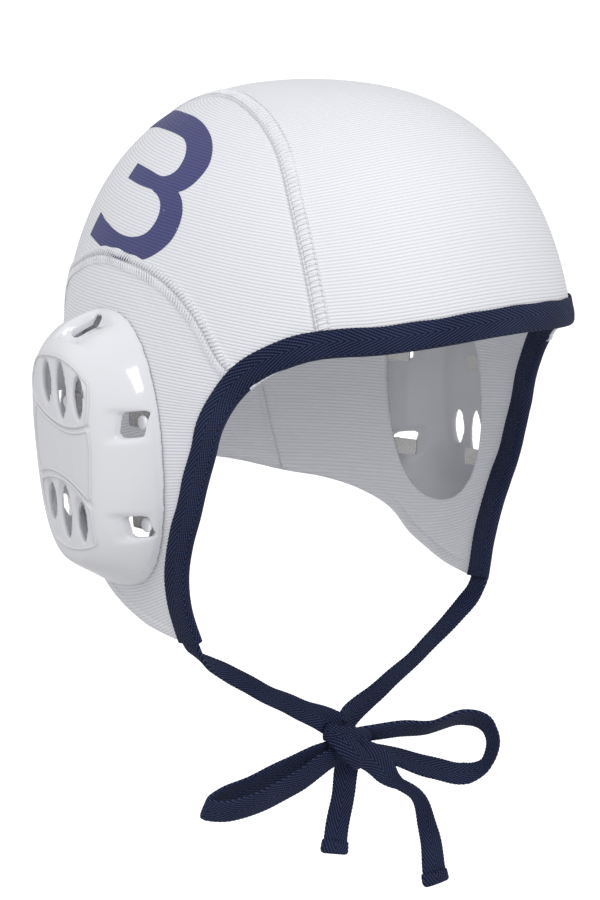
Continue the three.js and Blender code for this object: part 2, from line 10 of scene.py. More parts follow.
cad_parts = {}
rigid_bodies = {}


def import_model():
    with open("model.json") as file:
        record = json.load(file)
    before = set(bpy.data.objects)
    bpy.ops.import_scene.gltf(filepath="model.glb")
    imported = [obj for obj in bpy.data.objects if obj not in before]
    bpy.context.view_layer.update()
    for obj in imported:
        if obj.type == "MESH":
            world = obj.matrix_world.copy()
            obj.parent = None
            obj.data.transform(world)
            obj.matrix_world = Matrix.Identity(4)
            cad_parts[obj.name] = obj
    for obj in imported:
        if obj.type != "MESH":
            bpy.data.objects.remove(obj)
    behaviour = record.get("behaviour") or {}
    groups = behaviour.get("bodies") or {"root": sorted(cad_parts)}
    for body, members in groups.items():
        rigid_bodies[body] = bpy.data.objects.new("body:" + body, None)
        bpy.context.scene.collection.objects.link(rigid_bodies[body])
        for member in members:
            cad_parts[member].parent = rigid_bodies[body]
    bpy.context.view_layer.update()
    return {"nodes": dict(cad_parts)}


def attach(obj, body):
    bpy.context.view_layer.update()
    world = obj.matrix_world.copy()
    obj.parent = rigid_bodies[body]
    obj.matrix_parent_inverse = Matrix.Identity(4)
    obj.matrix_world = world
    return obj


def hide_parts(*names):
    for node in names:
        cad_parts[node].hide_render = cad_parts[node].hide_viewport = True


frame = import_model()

# Sizes are millimetres from the centre of the head form, as in the part's source. +Z is up, the face
# looks along -Y and the wearer's right is -X. The row's origin lies FORM_LIFT above that centre.
MM = 0.001
FORM_LIFT = 114.8
ROW_ORIGIN = np.array([0, 0, FORM_LIFT])

FORM = dict(half_width=78.5, front=99.0, back=98.0, up=116.0, down=118.0)
ROUNDNESS = dict(plan=2.14, brow=2.6, side=2.5, nape=2.4)

CLOTH_WALL = 1.2
HEM_WIDTH = 4.0
RIB_PITCH = 1.12
TAPE = dict(width=9.0, leaf=0.8, clearance=0.35, under=0.6)
TIE = dict(width=9.0, soft=1.56)

# Rows of the lines on the right side of the form: out, back, up
FACE_EDGE = [
    (0, -97, 38.9), (27, -92, 37.4), (44.5, -82, 35.6), (58, -67.5, 34), (63.5, -59, 31),
    (68.5, -50, 26), (72, -42, 18), (74, -36, 8), (75, -33, -2), (75.5, -29.5, -12),
    (76, -26, -23), (76, -21.5, -34), (75, -18, -45), (72.5, -16.5, -56), (69, -17.4, -68.5),
]
CROWN_SEAM = [
    (58, -67.5, 34), (57.6, -62, 53), (54, -50, 78), (45, -31, 99), (32, 2.5, 111), (25.6, 22, 111),
    (22, 45, 104), (21, 68, 84), (22, 86, 52), (24, 93, 15), (26, 92, -12), (27, 89, -31.5),
]
EAR_SEAM = [
    (69.9, -47, 22.5), (73, -36, 30), (74, -24, 44), (73.5, -8, 54), (71.5, 15, 59), (68, 32.5, 59),
    (63, 51, 54), (54.5, 69, 46), (47, 78, 30), (45, 81, 8), (47, 77, -16), (50, 73, -38),
]
LOWER_EDGE = [
    (69, -8.5, -68.5), (70.3, 6.6, -66), (70.7, 17, -62), (70.6, 25, -58), (70, 35, -50),
    (66, 47, -44), (60, 60, -40.5), (50, 73, -38),
]
NAPE_EDGE = [(50, 73, -38), (38, 83, -34), (27, 89, -31.5), (12, 93.5, -30), (0, 94.5, -29.5)]

GUARD = dict(back=17.0, up=-4.5, wall=2.2, lean=0.052, seat=0.35, level_rise=12.0, plate_rise=22.8)
GUARD_RINGS = [  # half width, half height, rise over the cloth, roundness
    (29, 47.5, 0, 2.3), (28.4, 46.8, 4.5, 2.3), (25.8, 44.3, 11.5, 2.3), (20.8, 39.8, 18.6, 2.45),
    (17.2, 36.4, 21.8, 2.6), (15, 33.6, 22.8, 2.8), (8, 18, 23.8, 2.6),
]
PLATE_DROP = dict(middle=1.9, across=0.06, along=-0.06, curve=0.0012)
EAR_OPENING = (22.5, 40.0, 2.3)
VENTS = [  # across, along, width, length
    (-12.2, 21.5, 4.8, 15), (-3.2, 23, 5, 19.5), (4.9, 25, 4.8, 14.5),
    (-8.1, -21.4, 4.8, 14), (0.7, -19.5, 5, 18.5), (8.9, -16.8, 4.6, 13),
]
VENT_FLARE = dict(depth=1.0, leg=0.9)
WINDOWS = [("upper", 8.0, 9.0), ("lower", -27.0, 8.0)]
WINDOW = dict(near=1.2, far=6.4, floor=2.6, top=21.0)
PEG = dict(from_rim=4.4, head=2.5, head_rise=1.5, shank=1.4, shank_rise=1.1)
GUARD_TAPE = dict(near=3.7, far=14.7, width=6.0, thickness=1.2)
TOP_NOTCH = dict(width=3.4, height=9.0, up=36.5, wall=2.7, back=19.6, let_in=4.6)
GUARD_VOXEL = 0.485

# Lines of the moulded panels on the plate, across and along it. Each panel is closed by its lines in turn.
PANELS = {
    "upper": [
        [(-16.1, 26.3), (-14.3, 28.4), (-11.9, 30.9), (-8.6, 33), (-4.7, 34.2), (0, 34.5), (4.8, 34.1),
         (9.2, 33), (12.6, 30)],
        [(12.6, 30), (13.8, 25.5), (13.0, 20.5), (10.8, 16.8)],
        [(10.8, 16.8), (7.4, 15.1), (3.1, 13.4), (-1.3, 11.9), (-4.7, 11.4), (-9, 11.5), (-13.1, 12.2),
         (-16, 13.2)],
        [(-16, 13.2), (-16.6, 19.6), (-16.1, 26.3)],
    ],
    "middle": [
        [(-16.2, 11.1), (-13.7, 10.2), (-10.2, 9.5), (-6.7, 9.4), (-2.2, 10.1), (2.3, 11.5), (7, 13.3),
         (12.4, 16.2)],
        [(12.4, 16.2), (14.0, 8.0), (14.0, -1.0), (13.2, -6.6)],
        [(13.2, -6.6), (9.0, -5.2), (5.4, -4.9), (0.7, -5.4), (-3.8, -6.6), (-7.9, -8.7), (-11.6, -10.8),
         (-14.5, -12.8)],
        [(-14.5, -12.8), (-15.8, -1.5), (-16.4, 5.2), (-16.2, 11.1)],
    ],
    "lower": [
        [(-14.2, -15.9), (-12.4, -14.0), (-10, -12), (-6.8, -9.7), (-2.4, -7.9), (2.2, -7.2), (7.1, -7.5),
         (12.8, -9.2)],
        [(12.8, -9.2), (13.2, -16.0), (11.2, -23.6), (7.6, -29.4)],
        [(7.6, -29.4), (3.4, -30.8), (0.5, -31.2), (-4.2, -31), (-9.7, -29.9), (-13.6, -28.4)],
        [(-13.6, -28.4), (-14, -22), (-14.2, -15.9)],
    ],
}
PANEL_GROOVES = [
    [(-16, 12.1), (-12.4, 11), (-8.4, 10.5), (-4.4, 10.6), (-0.4, 11.4), (4.2, 13), (8.6, 15),
     (11.6, 16.5)],
    [(13, -7.8), (8, -6.3), (3.8, -6), (-0.8, -6.6), (-5, -8), (-9.4, -10.6), (-12.6, -12.8),
     (-14.4, -14.4)],
]

KNOT = dict(y=-15.0, z=-117.5, half_width=8.0, half_depth=6.0, half_height=8.5)
BOW_TURN = -0.34
# Straps: middle of the tape and the direction of its width. The ties' rows are x, back, up, and the bow's
# rows are out, forwards, up from the knot. A strap's ends that meet the knot lie inside it.
TIE_ROUTE = [
    (-69.2, -13, -67.9, 0, 1, 0), (-68.7, -13, -69.35, 0, 1, 0), (-66.6, -12.8, -72.8, 0, 1, 0.15),
    (-61.4, -13.2, -77.2, 0.25, 0.8, 0.6), (-52, -13.6, -82.8, 0.45, 0.3, 0.85),
    (-38, -13.4, -91.5, 0.45, 0, 0.9), (-22, -12.6, -100.2, 0.42, 0, 0.9),
    (-4.9, -11.9, -109.2, 0.4, 0, 0.9), (-1.5, -13.0, -111.5, 0.4, 0, 0.9),
]
LOOP_NEAR = [
    (0, -0.6, -0.6, 0, 0.2, 1), (-7.4, -1.4, -2.6, 0, 0.2, 1), (-20, -4, -7.5, 0, 0.25, 1),
    (-34, -4, -12.3, 0, 0.3, 1), (-47, -2, -15, 0, 0.4, 1), (-53.5, 1, -16.8, 0.2, 0.5, 1),
    (-47, 4, -18, 0, 0.4, 1), (-34, 4.6, -15.6, 0, 0.3, 1), (-20, 3.4, -10.8, 0, 0.2, 1),
    (-8, 2, -5, 0, 0.2, 1), (0, 1.2, -2.5, 0, 0.2, 1),
]
LOOP_FAR = [
    (0.5, 1.0, 2.2, 0.1, 0.4, 0.9), (7.6, 1.2, 3.1, 0.1, 0.55, 0.8), (20, 1.4, 3.4, 0, 0.6, 0.75),
    (32, 1.4, 2.6, 0, 0.8, 0.7), (45, 1.2, 4.8, 0, 0.75, 0.75), (54, 1, 1.8, 0.75, 0.7, 0.45),
    (57.5, 1, -6, 1, 0.6, 0), (54.5, 1, -14, 0.7, 0.8, -0.5), (45, 1.5, -16, 0, 0.6, -0.9),
    (33, 1.5, -12.4, 0, 0.6, -0.9), (20, 1, -7.2, 0, 0.8, -0.6), (8, 0.8, -2.4, 0.1, 1, -0.3),
    (0.5, 0.4, -1.2, 0.1, 0.8, -0.4),
]
TAIL_NEAR = [
    (1.6, 0.3, -3.0, 1, 0.2, 0), (1.2, -1.5, -9.3, 1, 0.2, 0), (0.4, -2.5, -18, 1, 0.25, 0.1),
    (-1.6, -2.5, -28, 1, 0.2, 0.15), (-3.8, -1.5, -38.5, 1, 0.1, 0.1), (-4.2, -1.3, -40.6, 1, 0.1, 0.1),
]
TAIL_FAR = [
    (0.5, 4.4, 0.8, 0.25, 0.1, 0.95), (4.0, 5.4, -1.6, 0.35, 0.15, 0.9), (8.6, 5.2, -5.2, 0.5, 0.2, 0.8),
    (15.3, 4.6, -13.0, 0.6, 0.3, 0.8), (26.2, 4, -21.6, 0.8, 0.5, 0.5), (31.4, 2.4, -36, 1, 0.2, 0.2),
    (34.4, 1, -53, 1, 0, 0.2), (35.0, 0.7, -56.2, 1, -0.05, 0.25),
]
HEM = 4.8
# Shares of a strap's length, and its width there compared with the flat tape
TIE_WIDTHS = [(0, 0.9), (0.2, 0.72), (0.55, 0.7), (0.8, 0.85), (1, 1.15)]
NEAR_LOOP_WIDTHS = [(0, 0.7), (0.1, 0.9), (0.5, 1), (0.9, 0.95), (1, 0.7)]
FAR_LOOP_WIDTHS = [
    (0, 0.8), (0.1, 0.95), (0.3, 1.1), (0.38, 1.05), (0.45, 0.6), (0.55, 0.5), (0.62, 0.9), (0.9, 1),
    (1, 0.75),
]
NEAR_TAIL_WIDTHS = [(0, 0.75), (0.14, 0.98), (0.45, 0.92), (0.85, 0.96), (1, 1.05)]
FAR_TAIL_WIDTHS = [(0, 0.9), (0.14, 1.2), (0.26, 0.95), (0.36, 0.5), (0.48, 0.55), (0.72, 0.82), (1, 1.05)]

# Edges of the number's two strokes on the cloth, from its own middle: forwards and up of one edge, then
# forwards and up of the other
NUMBER_MIDDLE = (-62.4, 6.0, 83.1)
# How far the left side's number is moved, so that it reads properly and stays clear of the brow
NUMBER_SHIFT = 28
NUMBER_UPPER = [
    (-40, 39, -45.6, 29.4), (-30, 36.7, -32, 27.4), (-20, 34, -20, 24.8), (-7, 30.6, -10, 22.5),
    (2, 27, -3.4, 20.4), (10, 22, 1.2, 17), (15, 16.5, 3.6, 12.6), (17, 11, 3.4, 8.4),
    (15.6, 5.6, 1, 5.9), (12.2, 1.6, -2.6, 5), (8, -0.2, -5.6, 5.4), (1, -1, -9.5, 6.5),
    (-5.9, 0, -14, 7.7), (-14.4, 1.5, -18.6, 8.9), (-24.4, 4.1, -22.8, 10),
]
NUMBER_LOWER = [
    (0, 3.5, -8, 2.4), (7, 1, -5, -0.2), (11.6, -2.2, -0.6, -2.3), (14.3, -6.6, 2.3, -5.2),
    (14.8, -11.5, 3.2, -9), (13, -16.6, 1.9, -12.8), (8, -21.2, -1, -15.6), (1.6, -24.2, -5.4, -17),
    (-6, -25.4, -10.6, -17.2), (-14, -25, -16.6, -16.3), (-22, -23, -23, -14.2),
    (-31, -19.8, -30, -11.4), (-41, -16.2, -36.6, -8.2),
]


def form_level(p):
    """How far out points lie compared with the form: 1 is on the cloth's outer face."""
    x, y, z = p[..., 0], p[..., 1], p[..., 2]
    flat = np.maximum(np.hypot(x, y), 1e-6)
    side, face = np.abs(x) / flat, -y / flat
    reach = np.where(face > 0, FORM["front"], FORM["back"])
    n = ROUNDNESS["plan"]
    plan = ((side / FORM["half_width"]) ** n + (np.abs(face) / reach) ** n) ** (1 / n)
    towards_end = np.where(face > 0, ROUNDNESS["brow"], ROUNDNESS["nape"])
    power = ROUNDNESS["side"] + (towards_end - ROUNDNESS["side"]) * face * face
    height = np.where(z > 0, FORM["up"], FORM["down"])
    return ((flat * plan) ** power + (np.abs(z) / height) ** power) ** (1 / power)


def form_normal(p):
    step = np.eye(3) * 0.05
    slope = np.stack([form_level(p + step[i]) - form_level(p - step[i]) for i in range(3)], axis=-1)
    return slope / np.linalg.norm(slope, axis=-1, keepdims=True)


def on_form(p, rise=0.0):
    """The points of the cloth's outer face in the direction of p, lifted by rise along its normal."""
    surface = p / form_level(p)[..., None]
    return surface + form_normal(surface) * np.broadcast_to(rise, p.shape[:-1])[..., None]


def run_along(points):
    """The distance travelled at each of a row of points."""
    return np.concatenate([[0], np.cumsum(np.linalg.norm(np.diff(points, axis=0), axis=1))])


def spline(rows, samples=2400):
    """A centripetal curve through rows of any width, sampled evenly along its first three columns."""
    rows = np.array(rows, float)
    padded = np.vstack([2 * rows[0] - rows[1], rows, 2 * rows[-1] - rows[-2]])
    found = []
    per = max(samples // (len(rows) - 1), 8)
    for i in range(len(rows) - 1):
        p0, p1, p2, p3 = padded[i:i + 4]
        pairs = ((p0, p1), (p1, p2), (p2, p3))
        d0, d1, d2 = (np.linalg.norm((b - a)[:3]) ** 0.5 + 1e-9 for a, b in pairs)
        t1 = ((p1 - p0) / d0 - (p2 - p0) / (d0 + d1) + (p2 - p1) / d1) * d1
        t2 = ((p2 - p1) / d1 - (p3 - p1) / (d1 + d2) + (p3 - p2) / d2) * d1
        s = np.linspace(0, 1, per, endpoint=False)[:, None]
        square, cube = 3 * (p2 - p1) - 2 * t1 - t2, 2 * (p1 - p2) + t1 + t2
        found.append(p1 + t1 * s + square * s ** 2 + cube * s ** 3)
    found = np.vstack(found + [rows[-1:]])
    run = run_along(found[:, :3])
    return found, run / run[-1]


def curve_on_form(rows):
    found, share = spline([(-out, back, up) for out, back, up in rows])

    def at(t):
        t = np.clip(np.asarray(t, float), 0, 1)
        return on_form(np.stack([np.interp(t, share, found[:, i]) for i in range(3)], axis=-1))
    return at


def mirrored(p):
    return p * np.array([-1, 1, 1])


face_edge = curve_on_form(FACE_EDGE)
crown_seam = curve_on_form(CROWN_SEAM)
ear_seam = curve_on_form(EAR_SEAM)
lower_edge = curve_on_form(LOWER_EDGE)
nape_edge = curve_on_form(NAPE_EDGE)


def curve_length(curve, steps=400):
    return float(np.linalg.norm(np.diff(curve(np.linspace(0, 1, steps)), axis=0), axis=1).sum())


def share_nearest(curve, p):
    t = np.linspace(0, 1, 1201)
    return float(t[np.linalg.norm(curve(t) - p, axis=1).argmin()])


CROWN_SHARE = share_nearest(face_edge, crown_seam(0))
EAR_SHARE = share_nearest(face_edge, ear_seam(0))
NAPE_SHARE = share_nearest(nape_edge, crown_seam(1))


def step(value, low, high):
    """0 below low, 1 above high, and smooth between."""
    t = np.clip((value - low) / (high - low), 0, 1)
    return t * t * (3 - 2 * t)


def soft_noise(p, size, seed=0.0):
    """Smooth wandering values from -1 to 1 over points, from a few crossed waves."""
    q = p / size * 2 * math.pi
    total = 0
    waves = ((1, 0.37, 0.2), (-0.4, 0.9, 0.5), (0.3, -0.6, 1.1), (0.8, 0.7, -0.5))
    for i, (a, b, c) in enumerate(waves):
        total = total + np.sin(a * q[..., 0] + b * q[..., 1] + c * q[..., 2] + seed + 1.7 * i)
    return total / len(waves)


# Meshes

# Flat sizes of the cloth and tape pieces, by name: width, length and area, and how each is held
CUT_SIZES = {}


def make_piece(name, points, faces, uv=None):
    """A mesh object from points in millimetres. uv is one pair for each point."""
    mesh = bpy.data.meshes.new(name)
    places = (np.array(points, float).reshape(-1, 3) - ROW_ORIGIN) * MM
    mesh.from_pydata(places.tolist(), [], [tuple(int(i) for i in f) for f in faces])
    if uv is not None:
        layer = mesh.uv_layers.new(name="weave")
        corners = np.zeros(len(mesh.loops), np.int32)
        mesh.loops.foreach_get("vertex_index", corners)
        layer.data.foreach_set("uv", np.array(uv, np.float32).reshape(-1, 2)[corners].ravel())
    mesh.update()
    mesh.shade_smooth()
    piece = bpy.data.objects.new(name, mesh)
    bpy.context.scene.collection.objects.link(piece)
    return piece


def outward(piece):
    """Turns a closed mesh's faces outwards."""
    mesh = bmesh.new()
    mesh.from_mesh(piece.data)
    if mesh.calc_volume(signed=True) < 0:
        bmesh.ops.reverse_faces(mesh, faces=mesh.faces)
    mesh.to_mesh(piece.data)
    mesh.free()
    return piece


def grid_faces(columns, rows, first=0, around=False, flip=False):
    """Quads over a grid of columns by rows of points. around closes it along its columns."""
    i, j = np.meshgrid(np.arange(columns if around else columns - 1), np.arange(rows - 1), indexing="ij")
    i, j = i.ravel(), j.ravel()
    k = (i + 1) % columns
    quads = np.stack([i * rows + j, k * rows + j, k * rows + j + 1, i * rows + j + 1], axis=1) + first
    return quads[:, ::-1] if flip else quads


def walled(name, grid, wall, uv, around=False):
    """Closed cloth from its outer face. grid is columns by rows by 3, wall its thickness."""
    columns, rows = grid.shape[:2]
    count = columns * rows
    closed = np.concatenate([grid, grid[:1]]) if around else grid
    first, second = closed[1:, 1:] - closed[:-1, :-1], closed[1:, :-1] - closed[:-1, 1:]
    area = float(np.linalg.norm(np.cross(first, second), axis=-1).sum() / 2)
    if around:
        width, length = np.ptp(grid[..., 1]), np.ptp(grid[..., 2]) * 1.04
    else:
        width = np.linalg.norm(np.diff(grid, axis=1), axis=-1).sum(axis=1).max()
        length = np.linalg.norm(np.diff(grid, axis=0), axis=-1).sum(axis=0).max()
    CUT_SIZES[name] = (float(width), float(length), area, "stretched")
    inner = grid - form_normal(grid) * np.broadcast_to(wall, grid.shape[:2])[..., None]
    faces = [grid_faces(columns, rows, 0, around), grid_faces(columns, rows, count, around, True)]
    last = columns if around else columns - 1
    i = np.arange(last)
    k = (i + 1) % columns
    for j, flip in ((0, False), (rows - 1, True)):
        a, b = i * rows + j, k * rows + j
        strip = np.stack([b, a, a + count, b + count], axis=1)
        faces.append(strip[:, ::-1] if flip else strip)
    if not around:
        j = np.arange(rows - 1)
        for i, flip in ((0, True), (columns - 1, False)):
            a = i * rows + j
            strip = np.stack([a + 1, a, a + count, a + 1 + count], axis=1)
            faces.append(strip[:, ::-1] if flip else strip)
    points = np.concatenate([grid.reshape(-1, 3), inner.reshape(-1, 3)])
    both = np.concatenate([uv.reshape(-1, 2), uv.reshape(-1, 2)])
    return outward(make_piece(name, points, np.concatenate(faces), both))


def mirror_piece(piece, name):
    """A copy of a right-hand piece for the left side, turned the right way out."""
    twin = piece.copy()
    twin.data = piece.data.copy()
    twin.name = name
    twin.data.name = name
    bpy.context.scene.collection.objects.link(twin)
    twin.data.transform(Matrix.Scale(-1, 4, (1, 0, 0)))
    twin.data.flip_normals()
    if piece.name in CUT_SIZES:
        CUT_SIZES[name] = CUT_SIZES[piece.name]
    return twin


# Cloth panels

def travelled(grid, axis):
    """The distance of each point of a grid from the grid's first side along this axis."""
    steps = np.cumsum(np.linalg.norm(np.diff(grid, axis=axis), axis=2), axis=axis)
    return np.insert(steps, 0, 0, axis=axis)


def coons(low, high, start, finish, columns, rows):
    """A four-sided grid on the form, with the distance of each point from its four sides."""
    u = np.linspace(0, 1, columns)[:, None]
    v = np.linspace(0, 1, rows)[None, :]
    lo, hi = low(u[:, 0])[:, None], high(u[:, 0])[:, None]
    st, fi = start(v[0])[None], finish(v[0])[None]
    u, v = u[..., None], v[..., None]
    p = lo * (1 - v) + hi * v + st * (1 - u) + fi * u
    p = p - st[:, :1] * (1 - u) * (1 - v) - st[:, -1:] * (1 - u) * v
    p = on_form(p - fi[:, :1] * u * (1 - v) - fi[:, -1:] * u * v)
    across, along = travelled(p, 1), travelled(p, 0)
    return p, across, across[:, -1:] - across, along, along[-1:] - along


def seam_roll(distance):
    """The cloth dips where it turns into a seam."""
    return -0.55 * (1 - step(distance, 0.0, 0.9))


def hem_relief(distance):
    fold = 0.5 * (1 - step(distance, HEM_WIDTH - 0.5, HEM_WIDTH + 0.3))
    groove = -0.18 * np.exp(-((distance - HEM_WIDTH - 0.4) / 0.4) ** 2)
    return (fold + groove) * step(distance, -0.6, 0.7)


def pucker(points, distance, depth=0.16, reach=7.0, size=9.0, seed=0.0):
    return depth * soft_noise(points, size, seed) * np.exp(-distance / reach)


def brow(v):
    v = np.asarray(v, float)
    right = face_edge(CROWN_SHARE * np.clip(1 - 2 * v, 0, 1))
    left = mirrored(face_edge(CROWN_SHARE * np.clip(2 * v - 1, 0, 1)))
    return np.where((v < 0.5)[:, None], right, left)


def nape(v):
    v = np.asarray(v, float)
    share = NAPE_SHARE + (1 - NAPE_SHARE) * (1 - np.abs(1 - 2 * v))
    right = nape_edge(share)
    return np.where((v < 0.5)[:, None], right, mirrored(right))


def centre_panel():
    p, low, high, front, rear = coons(crown_seam, lambda t: mirrored(crown_seam(t)), brow, nape, 190, 71)
    seam = np.minimum(low, high)
    band = 0.42 * step(seam, 0.2, 0.9) * (1 - step(seam, 4.8, 5.8))
    rise = seam_roll(seam) + band + hem_relief(rear) + pucker(p, seam) + pucker(p, front, 0.1, 5, 7, 2.0)
    length = curve_length(crown_seam)
    share = np.linspace(0, 1, p.shape[0])[:, None]
    uv = np.stack([(low - high) / 2, np.broadcast_to(share * length, low.shape)], axis=-1)
    return walled("crown_centre", on_form(p, rise), CLOTH_WALL, uv / 10)


def side_rib(p):
    """Which rib a point of a side panel is on, measured up the form. Ribs fall a little forwards."""
    height = np.linspace(-60, 115.9, 3000)
    power = ROUNDNESS["side"]
    out = FORM["half_width"] * (1 - (np.abs(height) / FORM["up"]) ** power) ** (1 / power)
    run = run_along(np.stack([height, out], axis=1))
    return np.interp(p[..., 2] - 0.11 * p[..., 1], height, run)


def ear_rib(p):
    """Ribs of an ear panel are level above and behind the guard, and climb forwards below it."""
    up = p[..., 2]
    climb = np.interp(up, [-70, -40, -33, -8, 6, 20, 40], [0.5, 0.39, 0.3, 0.14, 0.1, -0.04, -0.06])
    reach = p[..., 1] + 5
    return up + climb * np.where(reach > 0, 20 * np.tanh(reach / 20), reach)


def side_panel():
    def start(v):
        return face_edge(CROWN_SHARE + (EAR_SHARE - CROWN_SHARE) * np.asarray(v, float))

    def finish(v):
        return nape_edge(NAPE_SHARE * (1 - np.asarray(v, float)))
    p, low, high, front, rear = coons(crown_seam, ear_seam, start, finish, 190, 61)
    ear_band = 0.35 * (1 - step(high, 2.6, 3.6)) * step(high, 0.1, 0.6)
    rise = seam_roll(low) + ear_band - 0.3 * (1 - step(high, 0, 0.5)) + hem_relief(rear)
    rise = rise + pucker(p, low, seed=1.0) + pucker(p, high, 0.2, 6, 8, 3.0)
    rise = rise + pucker(p, front, 0.1, 5, 7, 2.0)
    uv = np.stack([-p[..., 1], side_rib(p)], axis=-1)
    return walled("crown_side_right", on_form(p, rise), CLOTH_WALL, uv / 10)


def sideways(back, up):
    """The point of the right side of the cloth's outer face at this depth and height."""
    back, up = np.broadcast_arrays(np.asarray(back, float), np.asarray(up, float))
    near, far = np.full(back.shape, 20.0), np.full(back.shape, FORM["half_width"] + 5)
    for _ in range(32):
        middle = (near + far) / 2
        inside = form_level(np.stack([-middle, back, up], axis=-1)) < 1
        near, far = np.where(inside, middle, near), np.where(inside, far, middle)
    return np.stack([-near, back, up], axis=-1)


def side_point(across, along):
    return sideways(GUARD["back"] + across + GUARD["lean"] * along, GUARD["up"] + along)


def oval(angle, half_width, half_height, roundness):
    c, s = np.cos(angle), np.sin(angle)
    power = (np.abs(c) / half_width) ** roundness + (np.abs(s) / half_height) ** roundness
    radius = power ** (-1 / roundness)
    return radius * c, radius * s


def ear_panel():
    outline = []
    for curve, steps, kind in (
        (lambda t: face_edge(EAR_SHARE + (1 - EAR_SHARE) * t), 130, "face"),
        (lower_edge, 90, "hem"),
        (lambda t: ear_seam(1 - t), 190, "seam"),
    ):
        t = np.linspace(0, 1, steps, endpoint=False)
        outline.append((curve(t), [kind] * steps))
    edge = np.concatenate([p for p, _ in outline])
    kinds = np.array(sum((k for _, k in outline), []))
    angle = np.arctan2(edge[:, 2] - GUARD["up"], edge[:, 1] - GUARD["back"])
    inner = side_point(*oval(angle, *EAR_OPENING))
    rows = 46
    share = (np.linspace(0, 1, rows) ** 1.25)[None, :, None]
    p = on_form(edge[:, None] * (1 - share) + inner[:, None] * share)
    from_edge = travelled(p, 1)

    def share_of(kind):
        here = (kinds == kind).astype(float)
        return np.convolve(np.concatenate([here[-2:], here, here[:2]]), np.ones(5) / 5, "valid")[:, None]
    is_hem, is_seam = share_of("hem"), share_of("seam")
    band = 0.35 * (1 - step(from_edge, 2.6, 3.6)) * step(from_edge, 0.1, 0.6)
    band = band - 0.3 * (1 - step(from_edge, 0, 0.5))
    rise = is_seam * (band + pucker(p, from_edge, 0.2, 6, 8, 3.0)) + is_hem * hem_relief(from_edge)
    rise = rise + pucker(p, from_edge, 0.12, 10, 12, 5.0)
    uv = np.stack([-p[..., 1], ear_rib(p)], axis=-1)
    return walled("ear_cloth_right", on_form(p, rise), CLOTH_WALL, uv / 10, around=True)


# Tape and straps

def swept(name, sections, uv, around=False):
    """A closed body over sections, each a ring of as many points."""
    count, ring = sections.shape[:2]
    faces = []
    i = np.arange(count if around else count - 1)
    for j in range(ring):
        n = (j + 1) % ring
        k = (i + 1) % count
        faces.append(np.stack([i * ring + j, k * ring + j, k * ring + n, i * ring + n], axis=1))
    faces = [tuple(f) for f in np.concatenate(faces)]
    if not around:
        faces.append(tuple(range(ring)))
        faces.append(tuple(range((count - 1) * ring, count * ring))[::-1])
    return outward(make_piece(name, sections.reshape(-1, 3), faces, uv.reshape(-1, 2)))


def scallop(run, seed=0.0):
    """The small teeth that the twill's turns leave along a tape's edge."""
    teeth = np.abs(np.sin(run * math.pi / 1.45 + 0.4 * np.sin(run / 9 + seed)))
    return 0.2 * teeth + 0.12 * np.sin(run / 3.1 + seed) - 0.1


def face_binding():
    def whole(t):
        t = np.asarray(t, float)
        right = face_edge(np.clip(1 - 2 * t, 0, 1))
        left = mirrored(face_edge(np.clip(2 * t - 1, 0, 1)))
        return np.where((t < 0.5)[:, None], right, left)
    steps = 1300
    t = np.linspace(0, 1, steps)
    here = whole(t)
    along = np.gradient(here, axis=0)
    wide = np.pad(along, ((6, 6), (0, 0)), "edge")
    along = np.stack([np.convolve(wide[:, i], np.ones(13) / 13, "valid") for i in range(3)], axis=1)
    along /= np.linalg.norm(along, axis=1, keepdims=True)
    inwards = np.cross(form_normal(here), along)
    inwards /= np.linalg.norm(inwards, axis=1, keepdims=True)
    run = run_along(here)
    full = TAPE["width"]
    top = TAPE["clearance"] + TAPE["leaf"]
    under = -CLOTH_WALL - TAPE["under"]
    bottom = under - TAPE["leaf"]
    middle = (top + bottom) / 2
    half = (top - bottom) / 2
    # The distance from the fold, the rise over the cloth and whether the point lies on a toothed edge
    section = [(full, top - 0.55, 1), (full - 0.15, top - 0.12, 1), (full - 0.7, top, 0.6)]
    section += [(a, top + 0.12 * math.sin(math.pi * a / full), 0) for a in (7.4, 6.2, 5, 3.8, 2.6)]
    nose = np.linspace(0.15, math.pi - 0.15, 9)
    section += [(1.4 - 1.85 * math.sin(w), middle + half * math.cos(w), 0) for w in nose]
    section += [(a, bottom, 0) for a in (2.6, 5, 7.4)]
    section += [(full - 0.3, bottom + 0.05, 1), (full, under - 0.2, 1), (full - 0.1, under, 1)]
    section += [(a, under, 0) for a in (6, 3, 1.0)]
    section += [(a, TAPE["clearance"], 0) for a in (1.0, 3, 6)] + [(full - 0.1, TAPE["clearance"], 1)]
    rings = []
    lengths = []
    across = 0.0
    previous = None
    for from_fold, rise, edge in section:
        reach = from_fold + edge * scallop(run, 1.0)
        swell = 0.1 * soft_noise(here, 11, from_fold) * (rise > 0)
        rings.append(on_form(here + inwards * np.broadcast_to(reach, (steps,))[:, None], rise + swell))
        if previous is not None:
            across += math.dist(previous, (from_fold, rise))
        previous = (from_fold, rise)
        lengths.append(across)
    sections = np.stack(rings, axis=1)
    uv = np.stack(np.broadcast_arrays(run[:, None], np.array(lengths)[None, :]), axis=-1)
    flat, length = 21.0, float(run[-1])
    CUT_SIZES["face_binding"] = (flat, length, flat * length, "folded")
    return swept("face_binding", sections, uv / 10)


